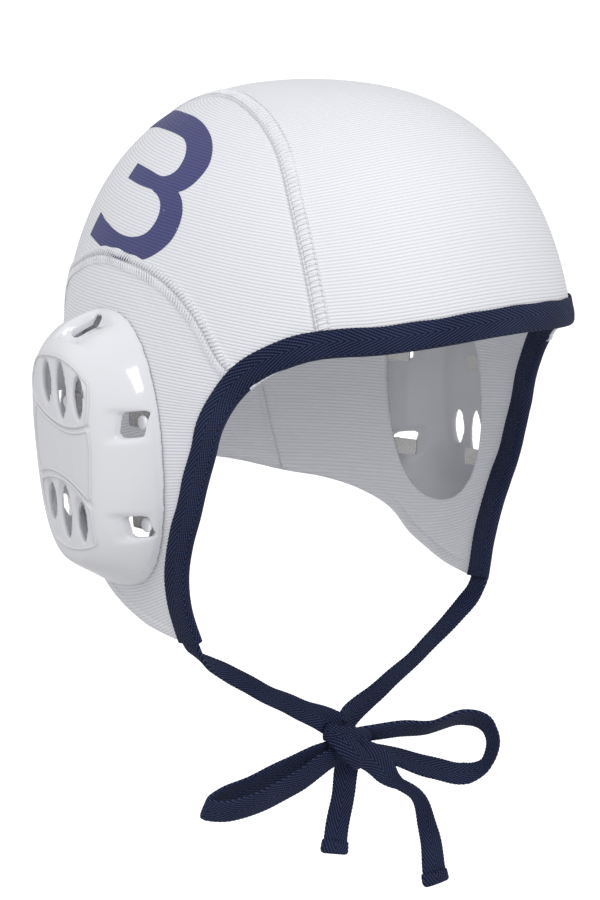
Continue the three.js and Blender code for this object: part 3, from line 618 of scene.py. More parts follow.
def strap_frames(rows, spacing=0.45):
    """Even points along a strap, with its direction, width direction and face."""
    found, _ = spline(rows)
    run = run_along(found[:, :3])
    steps = int(run[-1] / spacing) + 2
    t = np.linspace(0, run[-1], steps)
    data = np.stack([np.interp(t, run, found[:, i]) for i in range(6)], axis=1)
    at, side = data[:, :3], data[:, 3:]
    along = np.gradient(at, axis=0)
    along /= np.linalg.norm(along, axis=1, keepdims=True)
    side = side - along * (side * along).sum(axis=1, keepdims=True)
    side /= np.linalg.norm(side, axis=1, keepdims=True)
    return t, at, along, side, np.cross(along, side)


def strap(name, rows, width_at, width=TIE["width"], thickness=TIE["soft"], hem=0.0, crown=0.25, seed=0.0):
    """A woven strap along its rows. hem is the length of the folded, sewn end."""
    t, at, _, side, face = strap_frames(rows)
    half, deep = width / 2, thickness / 2
    profile = [(-1, 0.0, 1), (-0.985, 0.5, 1), (-0.93, 0.85, 1)]
    profile += [(a, 1.0, 0) for a in (-0.78, -0.52, -0.26, 0, 0.26, 0.52, 0.78)]
    profile += [(0.93, 0.85, 1), (0.985, 0.5, 1), (1, 0.0, 1), (0.985, -0.5, 1), (0.93, -0.85, 1)]
    profile += [(a, -1.0, 0) for a in (0.78, 0.52, 0.26, 0, -0.26, -0.52, -0.78)]
    profile += [(-0.93, -0.85, 1), (-0.985, -0.5, 1)]
    scale = np.interp(t / t[-1], *zip(*width_at))
    if hem:
        folded = step(t, t[-1] - hem - 0.35, t[-1] - hem + 0.25)
        groove = np.exp(-((t - (t[-1] - hem)) / 0.4) ** 2)
        tip = np.sqrt(np.clip(1 - np.clip((t - t[-1] + 0.8) / 0.8, 0, 1) ** 2, 0.04, 1))
        corner = np.sqrt(np.clip(1 - np.clip((t - t[-1] + 1.6) / 1.6, 0, 1) ** 2, 0, 1))
        thick = (1 + 0.9 * folded - 0.8 * groove) * tip
        scale = scale * (1 + 0.1 * folded) * (0.76 + 0.24 * corner)
    else:
        thick = np.ones(len(t))
    rings, lengths = [], []
    for w, h, edge in profile:
        teeth = edge * np.sign(w) * scallop(t, seed + (3 if w > 0 else 0))
        out = (w * half * scale + teeth)
        dome = crown * (1 - w * w) * np.sign(h)
        up = (h * deep + dome) * thick + 0.12 * soft_noise(at, 9, seed + w) * (abs(h) > 0.9)
        rings.append(at + side * out[:, None] + face * up[:, None])
        lengths.append((w + 1) * half)
    mean, length = width * float(np.mean(scale)) + 0.6, float(t[-1])
    CUT_SIZES[name] = (max(10.0, mean), length, mean * length, "folded")
    sections = np.stack(rings, axis=1)
    uv = np.stack(np.broadcast_arrays(t[:, None], np.array(lengths)[None, :]), axis=-1)
    return swept(name, sections, uv / 10)


def knot_point(out, forwards, up):
    """A point of the knot's own frame, turned and moved as the bow is."""
    c, s = math.cos(BOW_TURN), math.sin(BOW_TURN)
    return (out * c + forwards * s, out * s - forwards * c + KNOT["y"], up + KNOT["z"])


def bow_rows(rows):
    """Rows of the bow's own frame, turned and moved to the knot."""
    c, s = math.cos(BOW_TURN), math.sin(BOW_TURN)
    found = []
    for out, forwards, up, a, b, e in rows:
        found.append((*knot_point(out, forwards, up), a * c + b * s, a * s - b * c, e))
    return found


def knot_core(name):
    """The crossed tapes inside the knot, which show only between its wraps."""
    columns, rows = 48, 26
    turn = np.arange(columns) / columns * 2 * math.pi
    rise = np.linspace(-math.pi / 2 + 0.12, math.pi / 2 - 0.12, rows)
    turn, rise = np.meshgrid(turn, rise, indexing="ij")
    fold = 1 + 0.05 * np.sin(3 * turn + 2 * rise) + 0.04 * np.sin(5 * rise - turn)
    half = (KNOT["half_width"] - 1.6, KNOT["half_depth"] - 1.3, KNOT["half_height"] - 1.0)
    out = half[0] * np.cos(turn) * np.cos(rise) * fold
    forwards = half[1] * np.sin(turn) * np.cos(rise) * fold
    up = half[2] * np.sin(rise) * fold
    points = np.stack(knot_point(out, forwards, up), axis=-1)
    uv = np.stack([turn * 6 + rise * 2, rise * 7], axis=-1)
    return swept(name, points.transpose(1, 0, 2), uv.transpose(1, 0, 2) / 10)


def knot_wrap(name, start, end, tilt, reach, depth, width, width_at, lift, turn=0.0):
    """A tape wound over the knot's front, from one angle to another round a tilted hoop."""
    c, s = math.cos(BOW_TURN), math.sin(BOW_TURN)
    lean, swing = math.radians(tilt), math.radians(turn)
    rows = []
    for angle in np.radians(np.linspace(start, end, 15)):
        flat = -math.cos(angle) * reach
        ahead = math.sin(angle) * depth
        out = flat * math.cos(lean) * math.cos(swing) + ahead * math.sin(swing)
        forwards = ahead * math.cos(swing) - flat * math.cos(lean) * math.sin(swing)
        up = -flat * math.sin(lean) + lift
        x, y, z = knot_point(out, forwards, up)
        a, e = math.sin(lean), math.cos(lean)
        rows.append((x, y, z, a * c, a * s, e))
    return strap(name, rows, width_at, width, thickness=1.25, crown=1.1, seed=start)


# Ear guards

def plate_drop(across, along):
    """How much nearer the head the plate lies here than a plane over the guard's middle."""
    curved = PLATE_DROP["curve"] * np.maximum(np.asarray(across, float) + 3, 0) ** 2
    return PLATE_DROP["middle"] + PLATE_DROP["across"] * across + PLATE_DROP["along"] * along + curved


def guard_place(across, along, rise):
    """A point over the guard's plan. The rise fades from the cloth's own curve to a flat plate."""
    seat = side_point(across, along)
    middle = side_point(np.zeros(()), np.zeros(()))
    flatness = np.clip(rise / GUARD["level_rise"], 0, 1)
    x = seat[..., 0] * (1 - flatness) + (middle[0] + plate_drop(across, along)) * flatness
    return np.stack([x - GUARD["seat"] - rise, seat[..., 1], seat[..., 2]], axis=-1)


def inside_rim(direction, from_rim, up):
    along = up - GUARD["up"]
    half_width, half_height, _, roundness = GUARD_RINGS[0]
    across = half_width * (1 - (abs(along) / half_height) ** roundness) ** (1 / roundness)
    return GUARD["back"] + direction * (across - from_rim) + GUARD["lean"] * along


def scoop(across, along, rise):
    """The dome dips round each window, with soft shoulders."""
    for _, up, height in WINDOWS:
        middle = up - GUARD["up"]
        high = 1 - step(np.abs(along - middle), height / 2 - 0.6, height / 2 + 1.7)
        for direction in (-1, 1):
            inner = inside_rim(direction, WINDOW["far"], up) - GUARD["back"] - GUARD["lean"] * middle
            beyond = (across - inner) * direction
            wide = step(beyond, -2.6, 0.6)
            rise = rise - high * wide * 1.9 * np.clip((rise - 2.6) / 7, 0, 1)
    foot = step(-along, 35.0, 43.0) * (1 - step(np.abs(across), 8.0, 17.0))
    return rise - foot * 2.4 * np.clip((rise - 3.0) / 9, 0, 1)


def top_step(across, along, rise):
    """How far the dome is let in beside the top notch, which leaves a small wall behind it."""
    wall = TOP_NOTCH["wall"]
    ahead = step(across, -15.0, -1.0) * (1 - step(across, wall - 0.9, wall + 0.2))
    high = step(rise, 2.4, 5.0) * (1 - step(rise, 14.5, 19.0))
    return TOP_NOTCH["let_in"] * ahead * step(along, 22.0, 34.0) * high


def guard_shell():
    """The plain domed shell: an outer skin over the cloth and an inner one a wall below it."""
    found, _ = spline([(w, r, h, n) for w, h, r, n in GUARD_RINGS], 1200)
    run = run_along(found[:, :2])
    fine = np.linspace(0, run[-1], 60)
    half_width, rise, half_height, roundness = (np.interp(fine, run, found[:, i]) for i in range(4))
    around = 240
    angle = np.arange(around) / around * 2 * math.pi

    def skin(inset, lower):
        grid = []
        for w, h, r, n in zip(half_width, half_height, rise, roundness):
            across, along = oval(angle, w - inset, h - inset, n)
            level = np.full(around, r)
            along = along - top_step(across, along, level)
            grid.append(guard_place(across, along, scoop(across, along, level) * lower))
        apex = guard_place(np.zeros(1), np.zeros(1), np.array([GUARD["plate_rise"] + 1.2]) * lower)
        return np.array(grid).reshape(-1, 3), apex
    outer, apex = skin(0, 1)
    inner, hollow = skin(GUARD["wall"], 1 - GUARD["wall"] / GUARD["plate_rise"])
    count = len(fine) * around
    j = np.arange(around)
    n = (j + 1) % around
    faces = []
    for i in range(len(fine) - 1):
        a, b = i * around, (i + 1) * around
        faces += np.stack([a + j, b + j, b + n, a + n], axis=1).tolist()
        a, b = a + count, b + count
        faces += np.stack([a + n, b + n, b + j, a + j], axis=1).tolist()
    faces += np.stack([j, n, count + n, count + j], axis=1).tolist()
    last = count - around
    faces += np.stack([last + j, np.full(around, 2 * count), last + n], axis=1).tolist()
    a, b = count + last + n, count + last + j
    faces += np.stack([a, np.full(around, 2 * count + 1), b], axis=1).tolist()
    points = np.concatenate([outer, inner, apex, hollow])
    return outward(make_piece("guard_shell_right", points, faces))


def deselect():
    bpy.ops.object.select_all(action="DESELECT")


def only(piece):
    deselect()
    piece.select_set(True)
    bpy.context.view_layer.objects.active = piece


def apply_modifier(piece, kind, **settings):
    only(piece)
    bpy.ops.object.modifier_add(type=kind)
    modifier = piece.modifiers[-1]
    for key, value in settings.items():
        setattr(modifier, key, value)
    bpy.ops.object.modifier_apply(modifier=modifier.name)


def cut(piece, cutter):
    apply_modifier(piece, "BOOLEAN", operation="DIFFERENCE", solver="EXACT", object=cutter)
    bpy.data.objects.remove(cutter)


def row_place(x, y, z):
    return (x * MM, y * MM, (z - FORM_LIFT) * MM)


def plate_x(across, along):
    """Where the plate's outer face lies, measured along X."""
    seat = side_point(np.zeros(()), np.zeros(()))[0]
    return seat + plate_drop(across, along) - GUARD["seat"] - GUARD["plate_rise"] - 0.6


def lens_cutter(across, along, width, length, near_x, far_x, flare=0.0):
    """A lens-shaped prism across the plate. flare widens its outer end on every side."""
    place = row_place(0, GUARD["back"] + across + GUARD["lean"] * along, GUARD["up"] + along)
    deselect()
    bpy.ops.mesh.primitive_cylinder_add(
        vertices=44, radius=1, depth=2, location=(0, 0, 0), rotation=(0, math.pi / 2, 0))
    cutter = bpy.context.object
    bpy.ops.object.transform_apply(location=False, rotation=True, scale=False)
    for v in cutter.data.vertices:
        c, s = v.co.y, v.co.z
        outer = v.co.x < 0
        half_width = width / 2 + (flare if outer else 0)
        half_length = length / 2 + (flare * 1.5 if outer else 0)
        v.co.x = (far_x if outer else near_x) * MM
        out = math.copysign(abs(c) ** 1.3, c) * half_width
        v.co.y = (out + GUARD["lean"] * s * half_length) * MM + place[1]
        v.co.z = s * half_length * MM + place[2]
    return cutter


def box_cutter(back, up, width, height, near_x, far_x, soft=1.1):
    """A block with rounded long edges, from near_x out to far_x."""
    deselect()
    bpy.ops.mesh.primitive_cube_add(size=1, location=row_place((near_x + far_x) / 2, back, up))
    cutter = bpy.context.object
    cutter.scale = (abs(far_x - near_x) * MM, width * MM, height * MM)
    bpy.ops.object.transform_apply(location=True, rotation=False, scale=True)
    for edge in cutter.data.edges:
        a, b = (cutter.data.vertices[i].co for i in edge.vertices)
        edge.select = abs(a.x - b.x) > 1e-4
    for face in cutter.data.polygons:
        face.select = False
    bpy.ops.object.mode_set(mode="EDIT")
    bpy.ops.mesh.select_mode(type="EDGE")
    bpy.ops.mesh.bevel(offset=soft * MM, segments=4)
    bpy.ops.object.mode_set(mode="OBJECT")
    return cutter


def plate_line(rows):
    return spline([(a, b, 0) for a, b in rows], 60)[0][:, :2]


def panel_outline(lines):
    return np.concatenate([plate_line(rows)[:-1] for rows in lines])


def distance_to(points, line, closed=True):
    """The distance of plate points from a line, and whether they lie inside it."""
    a = line if closed else line[:-1]
    b = np.roll(line, -1, axis=0) if closed else line[1:]
    nearest = np.full(len(points), 1e9)
    inside = np.zeros(len(points), bool)
    for (ax, ay), (bx, by) in zip(a, b):
        dx, dy = bx - ax, by - ay
        right, above = points[:, 0] - ax, points[:, 1] - ay
        t = np.clip((right * dx + above * dy) / max(dx * dx + dy * dy, 1e-9), 0, 1)
        nearest = np.minimum(nearest, np.hypot(right - t * dx, above - t * dy))
        crosses = (ay > points[:, 1]) != (by > points[:, 1])
        inside ^= crosses & (right < above * dx / (dy if abs(dy) > 1e-9 else 1e-9))
    return nearest, inside


def plate_coordinates(p):
    along = p[:, 2] - GUARD["up"]
    return np.stack([p[:, 1] - GUARD["back"] - GUARD["lean"] * along, along], axis=1)


def mesh_arrays(piece):
    found = []
    for kind in ("co", "normal"):
        values = np.zeros(len(piece.data.vertices) * 3, np.float32)
        piece.data.vertices.foreach_get(kind, values)
        found.append(values.reshape(-1, 3))
    return found[0] / MM + ROW_ORIGIN, found[1]


def mould_panels(guard):
    """The plate's eyes lie a little low, and grooves part them from the middle panel."""
    places, normals = mesh_arrays(guard)
    plate = plate_coordinates(places)
    skin = (normals[:, 0] < -0.55) & (places[:, 0] < plate_x(plate[:, 0], plate[:, 1]) + 1.9)
    skin &= (np.abs(plate[:, 0]) < 24) & (np.abs(plate[:, 1]) < 40)
    points = plate[skin]
    depth = np.zeros(len(points))
    for panel, low in (("upper", 0.42), ("middle", 0.1), ("lower", 0.42)):
        nearest, inside = distance_to(points, panel_outline(PANELS[panel]))
        depth += np.where(inside, low * step(nearest, 0.1, 0.9), 0)
    for rows in PANEL_GROOVES:
        nearest, _ = distance_to(points, plate_line(rows), closed=False)
        depth += 0.6 * np.exp(-(nearest / 0.85) ** 2)
    moved = places.copy()
    moved[skin] -= normals[skin] * depth[:, None]
    guard.data.vertices.foreach_set("co", ((moved - ROW_ORIGIN) * MM).astype(np.float32).ravel())
    guard.data.update()


def panel_beads(guard):
    """Fine raised lines round the panels, laid on the plate."""
    tree = BVHTree.FromObject(guard, bpy.context.evaluated_depsgraph_get())
    beads = []
    for name, lines in PANELS.items():
        outline = panel_outline(lines)
        closed = np.vstack([outline, outline[:1]])
        run = run_along(closed)
        t = np.linspace(0, run[-1], int(run[-1] / 0.6), endpoint=False)
        line = np.stack([np.interp(t, run, closed[:, i]) for i in range(2)], axis=1)
        points, normals = [], []
        for across, along in line:
            back = GUARD["back"] + across + GUARD["lean"] * along
            start = row_place(-150, back, GUARD["up"] + along)
            hit, normal, _, _ = tree.ray_cast(Vector(start), Vector((1, 0, 0)))
            points.append(np.array(hit) / MM + ROW_ORIGIN)
            normals.append(np.array(normal))
        points, normals = np.array(points), np.array(normals)
        for _ in range(3):
            points = (np.roll(points, 1, 0) + 2 * points + np.roll(points, -1, 0)) / 4
            normals = (np.roll(normals, 1, 0) + 2 * normals + np.roll(normals, -1, 0)) / 4
        normals /= np.linalg.norm(normals, axis=1, keepdims=True)
        along = np.roll(points, -1, 0) - np.roll(points, 1, 0)
        along /= np.linalg.norm(along, axis=1, keepdims=True)
        side = np.cross(along, normals)
        ring = []
        for w in np.arange(8) / 8 * 2 * math.pi:
            ring.append(points + side * math.cos(w) * 0.5 + normals * (math.sin(w) * 0.42 + 0.02))
        sections = np.stack(ring, axis=1)
        uv = np.zeros(sections.shape[:2] + (2,))
        beads.append(swept(f"bead_{name}", sections, uv, around=True))
    return beads


def ear_guard():
    guard = guard_shell()
    seat_x = side_point(np.zeros(()), np.zeros(()))[0]
    for across, along, width, length in VENTS:
        surface = plate_x(across, along)
        cut(guard, lens_cutter(across, along, width, length, seat_x - 12, seat_x - 40))
        near_x, far_x = surface + VENT_FLARE["depth"], surface - 1.8
        widening = VENT_FLARE["leg"] / VENT_FLARE["depth"] * (near_x - far_x)
        cut(guard, lens_cutter(across, along, width, length, near_x, far_x, widening))
    for _, up, height in WINDOWS:
        for direction in (-1, 1):
            back = inside_rim(direction, (WINDOW["near"] + WINDOW["far"]) / 2, up)
            rim_x = sideways(inside_rim(direction, 0, up), up)[0]
            width = WINDOW["far"] - WINDOW["near"]
            near_x, far_x = rim_x - WINDOW["floor"], rim_x - WINDOW["top"]
            cut(guard, box_cutter(back, up, width, height - 0.4, near_x, far_x))
    top_x = sideways(TOP_NOTCH["back"], TOP_NOTCH["up"])[0]
    notch = box_cutter(
        TOP_NOTCH["back"], TOP_NOTCH["up"], TOP_NOTCH["width"], TOP_NOTCH["height"],
        top_x - WINDOW["floor"], seat_x - 12.5, 0.6)
    cut(guard, notch)
    apply_modifier(guard, "REMESH", mode="VOXEL", voxel_size=GUARD_VOXEL * MM)
    apply_modifier(guard, "SMOOTH", factor=0.5, iterations=7)
    mould_panels(guard)
    apply_modifier(guard, "SMOOTH", factor=0.35, iterations=1)
    beads = panel_beads(guard)
    only(guard)
    for bead in beads:
        bead.select_set(True)
    bpy.ops.object.join()
    guard.data.shade_smooth()
    return guard


def peg(name, place):
    """A moulded peg: a domed head on a short shank, standing outwards."""
    x, y, z = place
    deselect()
    bpy.ops.mesh.primitive_cylinder_add(
        vertices=32, radius=PEG["head"] * MM, depth=PEG["head_rise"] * MM,
        location=row_place(x - PEG["shank_rise"] - PEG["head_rise"] / 2, y, z),
        rotation=(0, math.pi / 2, 0))
    head = bpy.context.object
    head.name = name
    apply_modifier(head, "BEVEL", width=0.72 * MM, segments=5)
    deselect()
    bpy.ops.mesh.primitive_cylinder_add(
        vertices=24, radius=PEG["shank"] * MM, depth=PEG["shank_rise"] * MM,
        location=row_place(x - PEG["shank_rise"] / 2, y, z), rotation=(0, math.pi / 2, 0))
    shank = bpy.context.object
    deselect()
    shank.select_set(True)
    head.select_set(True)
    bpy.context.view_layer.objects.active = head
    bpy.ops.object.join()
    bpy.ops.object.transform_apply(location=True, rotation=True, scale=True)
    bpy.ops.object.shade_smooth_by_angle(angle=math.radians(40))
    return head


def guard_tape(name, direction, up):
    """A short piece of woven tape that lies on the cloth under a peg, with soft edges."""
    rows = 30
    from_rim = np.linspace(GUARD_TAPE["far"], GUARD_TAPE["near"], rows)
    profile = [(-1, 0.15), (-0.96, 0.6), (-0.86, 0.92), (-0.6, 1), (-0.3, 1), (0, 1), (0.3, 1), (0.6, 1)]
    profile += [(0.86, 0.92), (0.96, 0.6), (1, 0.15), (0.9, 0), (0.45, 0), (0, 0), (-0.45, 0), (-0.9, 0)]
    back = np.array([inside_rim(direction, f, up) for f in from_rim])
    rings = []
    for side, top in profile:
        base = sideways(back, np.full(rows, up + side * GUARD_TAPE["width"] / 2))
        rings.append(base - np.array([GUARD["seat"] + top * GUARD_TAPE["thickness"], 0, 0]))
    sections = np.stack(rings, axis=1)
    lengths = np.array([side for side, _ in profile]) * GUARD_TAPE["width"] / 2
    length = GUARD_TAPE["far"] - GUARD_TAPE["near"]
    CUT_SIZES[name] = (10.5, length, 7.4 * length, "laid")
    uv = np.stack(np.broadcast_arrays(from_rim[:, None], lengths[None]), axis=-1)
    return swept(name, sections, uv / 10)


# Finishes

class Signal:
    """A shader socket. Sums on it add their Math nodes."""

    def __init__(self, finish, socket):
        self.finish, self.socket = finish, socket

    def math(self, operation, *others):
        return self.finish.node("ShaderNodeMath", {"operation": operation}, self, *others)

    def __add__(self, other):
        return self.math("ADD", other)

    __radd__ = __add__

    def __sub__(self, other):
        return self.math("SUBTRACT", other)

    def __rsub__(self, other):
        return self.finish.node("ShaderNodeMath", {"operation": "SUBTRACT"}, other, self)

    def __mul__(self, other):
        return self.math("MULTIPLY", other)

    __rmul__ = __mul__

    def __pow__(self, other):
        return self.math("POWER", other)


class Finish:
    """A node material of one Principled shader."""

    def __init__(self, name, **constants):
        self.material = bpy.data.materials.new(name)
        self.material.use_nodes = True
        self.tree = self.material.node_tree
        self.shader = self.tree.nodes["Principled BSDF"]
        for socket, value in constants.items():
            self.shader.inputs[socket.replace("_", " ")].default_value = value

    def node(self, kind, settings=None, *values, output=0, **named):
        node = self.tree.nodes.new(kind)
        for key, value in (settings or {}).items():
            setattr(node, key, value)
        pairs = list(enumerate(values)) + [(k.replace("_", " "), v) for k, v in named.items()]
        for key, value in pairs:
            if isinstance(value, Signal):
                self.tree.links.new(value.socket, node.inputs[key])
            else:
                node.inputs[key].default_value = value
        return Signal(self, node.outputs[output])

    def mix(self, share, low, high):
        """Low to high as share goes from 0 to 1, for colours."""
        node = self.tree.nodes.new("ShaderNodeMix")
        node.data_type = "RGBA"
        for socket, value in ((node.inputs[0], share), (node.inputs[6], low), (node.inputs[7], high)):
            if isinstance(value, Signal):
                self.tree.links.new(value.socket, socket)
            else:
                socket.default_value = (*value, 1) if isinstance(value, tuple) else value
        return Signal(self, node.outputs[2])

    def feed(self, **links):
        for socket, signal in links.items():
            self.tree.links.new(signal.socket, self.shader.inputs[socket.replace("_", " ")])

    def uv(self):
        """The two lengths along and across the weave, in centimetres."""
        place = self.node("ShaderNodeUVMap", {"uv_map": "weave"})
        parts = self.tree.nodes.new("ShaderNodeSeparateXYZ")
        self.tree.links.new(place.socket, parts.inputs[0])
        return Signal(self, parts.outputs[0]), Signal(self, parts.outputs[1])

    def place(self):
        return self.node("ShaderNodeTexCoord", output="Object")

    def noise(self, vector, scale, detail=3.0):
        named = dict(Vector=vector, Scale=scale, Detail=detail, Roughness=0.55)
        return self.node("ShaderNodeTexNoise", **named)

    def bump(self, height, distance, strength):
        return self.node("ShaderNodeBump", Height=height, Distance=distance, Strength=strength)


def rib_wave(finish, where, across):
    """The cloth's ribs, from 0 in a groove to 1 on a rib, with a little drift."""
    drift = finish.noise(where, 90.0, 2.0) - 0.5
    return ((across * (10 / RIB_PITCH) + drift * 0.22) * (2 * math.pi)).math("SINE") * 0.5 + 0.5


def cloth_finish(name, ground, groove, rough=0.78):
    finish = Finish(name, Roughness=rough, Sheen_Weight=0.12, Sheen_Roughness=0.4, Specular_IOR_Level=0.3)
    along, across = finish.uv()
    where = finish.place()
    wave = rib_wave(finish, where, across)
    ridge = wave ** 0.42
    loops = (along * (10 / 0.62) * (2 * math.pi) + wave * 2.0).math("SINE") * 0.5 + 0.5
    fibre = finish.noise(where, 2600.0, 4.0)
    height = ridge + loops * 0.14 + fibre * 0.22
    cloud = finish.noise(where, 22.0, 3.0)
    # Painted shade: the groove colour darkens the rib grooves, where the ribs shade each other; the fibre
    # and cloud terms add random tone.
    painted_light_and_tone = (1 - ridge) * 0.5 + (fibre - 0.5) * 0.28 + (cloud - 0.5) * 0.2 + 0.05
    finish.feed(Base_Color=finish.mix(painted_light_and_tone, ground, groove), Normal=finish.bump(height, 0.00022, 0.7))
    finish.feed(Roughness=(rough + (1 - ridge) * 0.1))
    return finish.material


def tape_finish(name, dark, light, pitch=2.3, half=4.5, rough=0.66, lean=2.1):
    """Herringbone twill. The rows of its weave meet in a V along the middle of each face."""
    finish = Finish(name, Roughness=rough, Sheen_Weight=0.02, Sheen_Roughness=0.4, Specular_IOR_Level=0.12)
    along, across = finish.uv()
    where = finish.place()
    wander = finish.noise(where, 240.0, 2.0) - 0.5
    width = across * 10
    turn = width.math("PINGPONG", half)
    beyond = width.math("GREATER_THAN", half)
    run = along * 10 - turn * (lean + beyond * lean * 0.2) + wander * 0.6
    twill = (run * (2 * math.pi / pitch)).math("SINE") * 0.5 + 0.5
    cross = along * 10 + turn * (0.66 - beyond * 0.12) + wander * 0.9
    beads = (cross * (2 * math.pi / 1.05)).math("SINE") * 0.5 + 0.5
    fibre = finish.noise(where, 3400.0, 4.0)
    yarn = twill ** 0.8
    height = yarn * 0.8 + beads * yarn * 0.3 + fibre * 0.16
    cloud = finish.noise(where, 48.0, 3.0)
    # Painted highlight and shade: the raised twill rows and beads take the light colour and the hollows
    # between them the dark one; the fibre and cloud terms add random tone.
    painted_light_and_tone = twill ** 1.5 * (beads * 0.6 + 0.22) + 0.06 + (fibre - 0.5) * 0.4 + (cloud - 0.5) * 0.3
    finish.feed(Base_Color=finish.mix(painted_light_and_tone.math("MAXIMUM", 0.0), dark, light))
    finish.feed(Normal=finish.bump(height, 0.00034, 0.95), Roughness=(rough + (1 - yarn) * 0.15))
    return finish.material


def plastic_finish(name, ground, shade):
    finish = Finish(
        name, Roughness=0.1, Specular_IOR_Level=0.5, IOR=1.49, Coat_Weight=0.3, Coat_Roughness=0.03,
        Subsurface_Weight=0.12, Subsurface_Scale=0.004, Subsurface_Radius=(1.0, 1.0, 1.0))
    where = finish.place()
    cloud = finish.noise(where, 35.0, 3.0)
    skin = finish.noise(where, 420.0, 3.0)
    finish.feed(Base_Color=finish.mix(cloud, ground, shade), Roughness=(0.08 + skin * 0.06))
    finish.feed(Normal=finish.bump(skin * 0.6 + cloud * 1.5, 0.00006, 0.5))
    return finish.material


def thread_finish(name, ground, shade):
    finish = Finish(name, Roughness=0.6, Sheen_Weight=0.2, Specular_IOR_Level=0.4)
    where = finish.place()
    fibre = finish.noise(where, 4200.0, 4.0)
    cloud = finish.noise(where, 160.0, 2.0)
    finish.feed(Base_Color=finish.mix(fibre * 0.6 + cloud * 0.4, ground, shade))
    finish.feed(Normal=finish.bump(fibre, 0.0001, 0.7), Roughness=(0.5 + fibre * 0.25))
    return finish.material


def print_finish(name, ground, shade):
    """A thin printed film. The cloth's ribs show through it."""
    finish = Finish(name, Roughness=0.5, Specular_IOR_Level=0.4)
    _, across = finish.uv()
    where = finish.place()
    wave = rib_wave(finish, where, across)
    fibre = finish.noise(where, 1800.0, 4.0)
    cloud = finish.noise(where, 30.0, 3.0)
    pores = finish.noise(where, 700.0, 2.0).math("GREATER_THAN", 0.74)
    # Painted shade: the darker colour fills the rib grooves under the print; the fibre and cloud terms add
    # random tone.
    painted_light_and_tone = (1 - wave ** 0.7) * 0.7 + (fibre - 0.5) * 0.4 + (cloud - 0.5) * 0.5
    base = finish.mix(painted_light_and_tone.math("MAXIMUM", 0.0), ground, shade)
    finish.feed(Base_Color=finish.mix(pores * 0.5, base, (0.6, 0.62, 0.68)))
    finish.feed(Normal=finish.bump(wave ** 0.7 + fibre * 0.2, 0.00022, 0.7))
    finish.feed(Roughness=(0.42 + fibre * 0.2))
    return finish.material


# The white cloth's second colour is painted shade for its rib grooves.
cloth_white = cloth_finish("ribbed_white_cloth", (0.86, 0.868, 0.895), (0.66, 0.67, 0.72))
# Each tape's lighter colour is a painted highlight on its raised yarn, and its darker colour is painted
# shade in the hollows.
tape_navy = tape_finish("navy_herringbone_tape", (0.005, 0.0075, 0.026), (0.06, 0.082, 0.175))
webbing_white = tape_finish("white_woven_tape", (0.62, 0.61, 0.6), (0.9, 0.89, 0.87), pitch=1.4, half=3.0)
plastic_white = plastic_finish("white_gloss_plastic", (0.785, 0.79, 0.815), (0.75, 0.755, 0.785))
thread_white = thread_finish("white_seam_thread", (0.88, 0.885, 0.905), (0.78, 0.785, 0.81))
# The print's darker colour is painted shade for the rib grooves under it.
print_navy = print_finish("navy_print_film", (0.075, 0.082, 0.225), (0.042, 0.045, 0.15))


def place_number(forwards, up, mirror=False):
    """Points of the cloth's outer face at these distances from the number's middle."""
    middle = np.array(NUMBER_MIDDLE)
    normal = form_normal(middle)
    ahead = np.array([0, -1, 0]) - normal * (-normal[1])
    ahead /= np.linalg.norm(ahead)
    upward = np.cross(normal, ahead)
    upward = upward if upward[2] > 0 else -upward
    reach = np.hypot(forwards, up)
    flat = ahead * forwards[..., None] + upward * up[..., None]
    drop = np.zeros(reach.shape)
    for _ in range(12):
        scale = np.sqrt(np.clip(reach ** 2 - drop ** 2, 0, None)) / np.maximum(reach, 1e-6)
        guess = middle + flat * scale[..., None] - normal * drop[..., None]
        outside = (form_level(guess) - 1) * np.linalg.norm(guess, axis=-1)
        drop = drop + outside * 0.7
    return mirrored(on_form(guess)) if mirror else on_form(guess)


def number_print(name, mirror):
    """The player's number: two broad strokes in a film just over the cloth."""
    points, faces, uvs = [], [], []
    first = 0
    for layer, rows in enumerate((NUMBER_UPPER, NUMBER_LOWER)):
        found, share = spline([(a, b, 0, c, d) for a, b, c, d in rows], 900)
        columns, lanes = 170, 13
        t = np.linspace(0, 1, columns)
        a, b, _, c, d = (np.interp(t, share, found[:, i])[:, None] for i in range(5))
        lane = np.linspace(0, 1, lanes)[None]
        forwards, up = a + (c - a) * lane, b + (d - b) * lane
        if mirror:
            forwards = -forwards - NUMBER_SHIFT
        p = place_number(forwards, up)
        uv = np.stack([-p[..., 1], side_rib(p)], axis=-1) / 10
        p = on_form(p, 0.12 + 0.03 * layer)
        points.append((mirrored(p) if mirror else p).reshape(-1, 3))
        uvs.append(uv.reshape(-1, 2))
        faces.append(grid_faces(columns, lanes, first, flip=True))
        first += columns * lanes
    return make_piece(name, np.concatenate(points), np.concatenate(faces), np.concatenate(uvs))


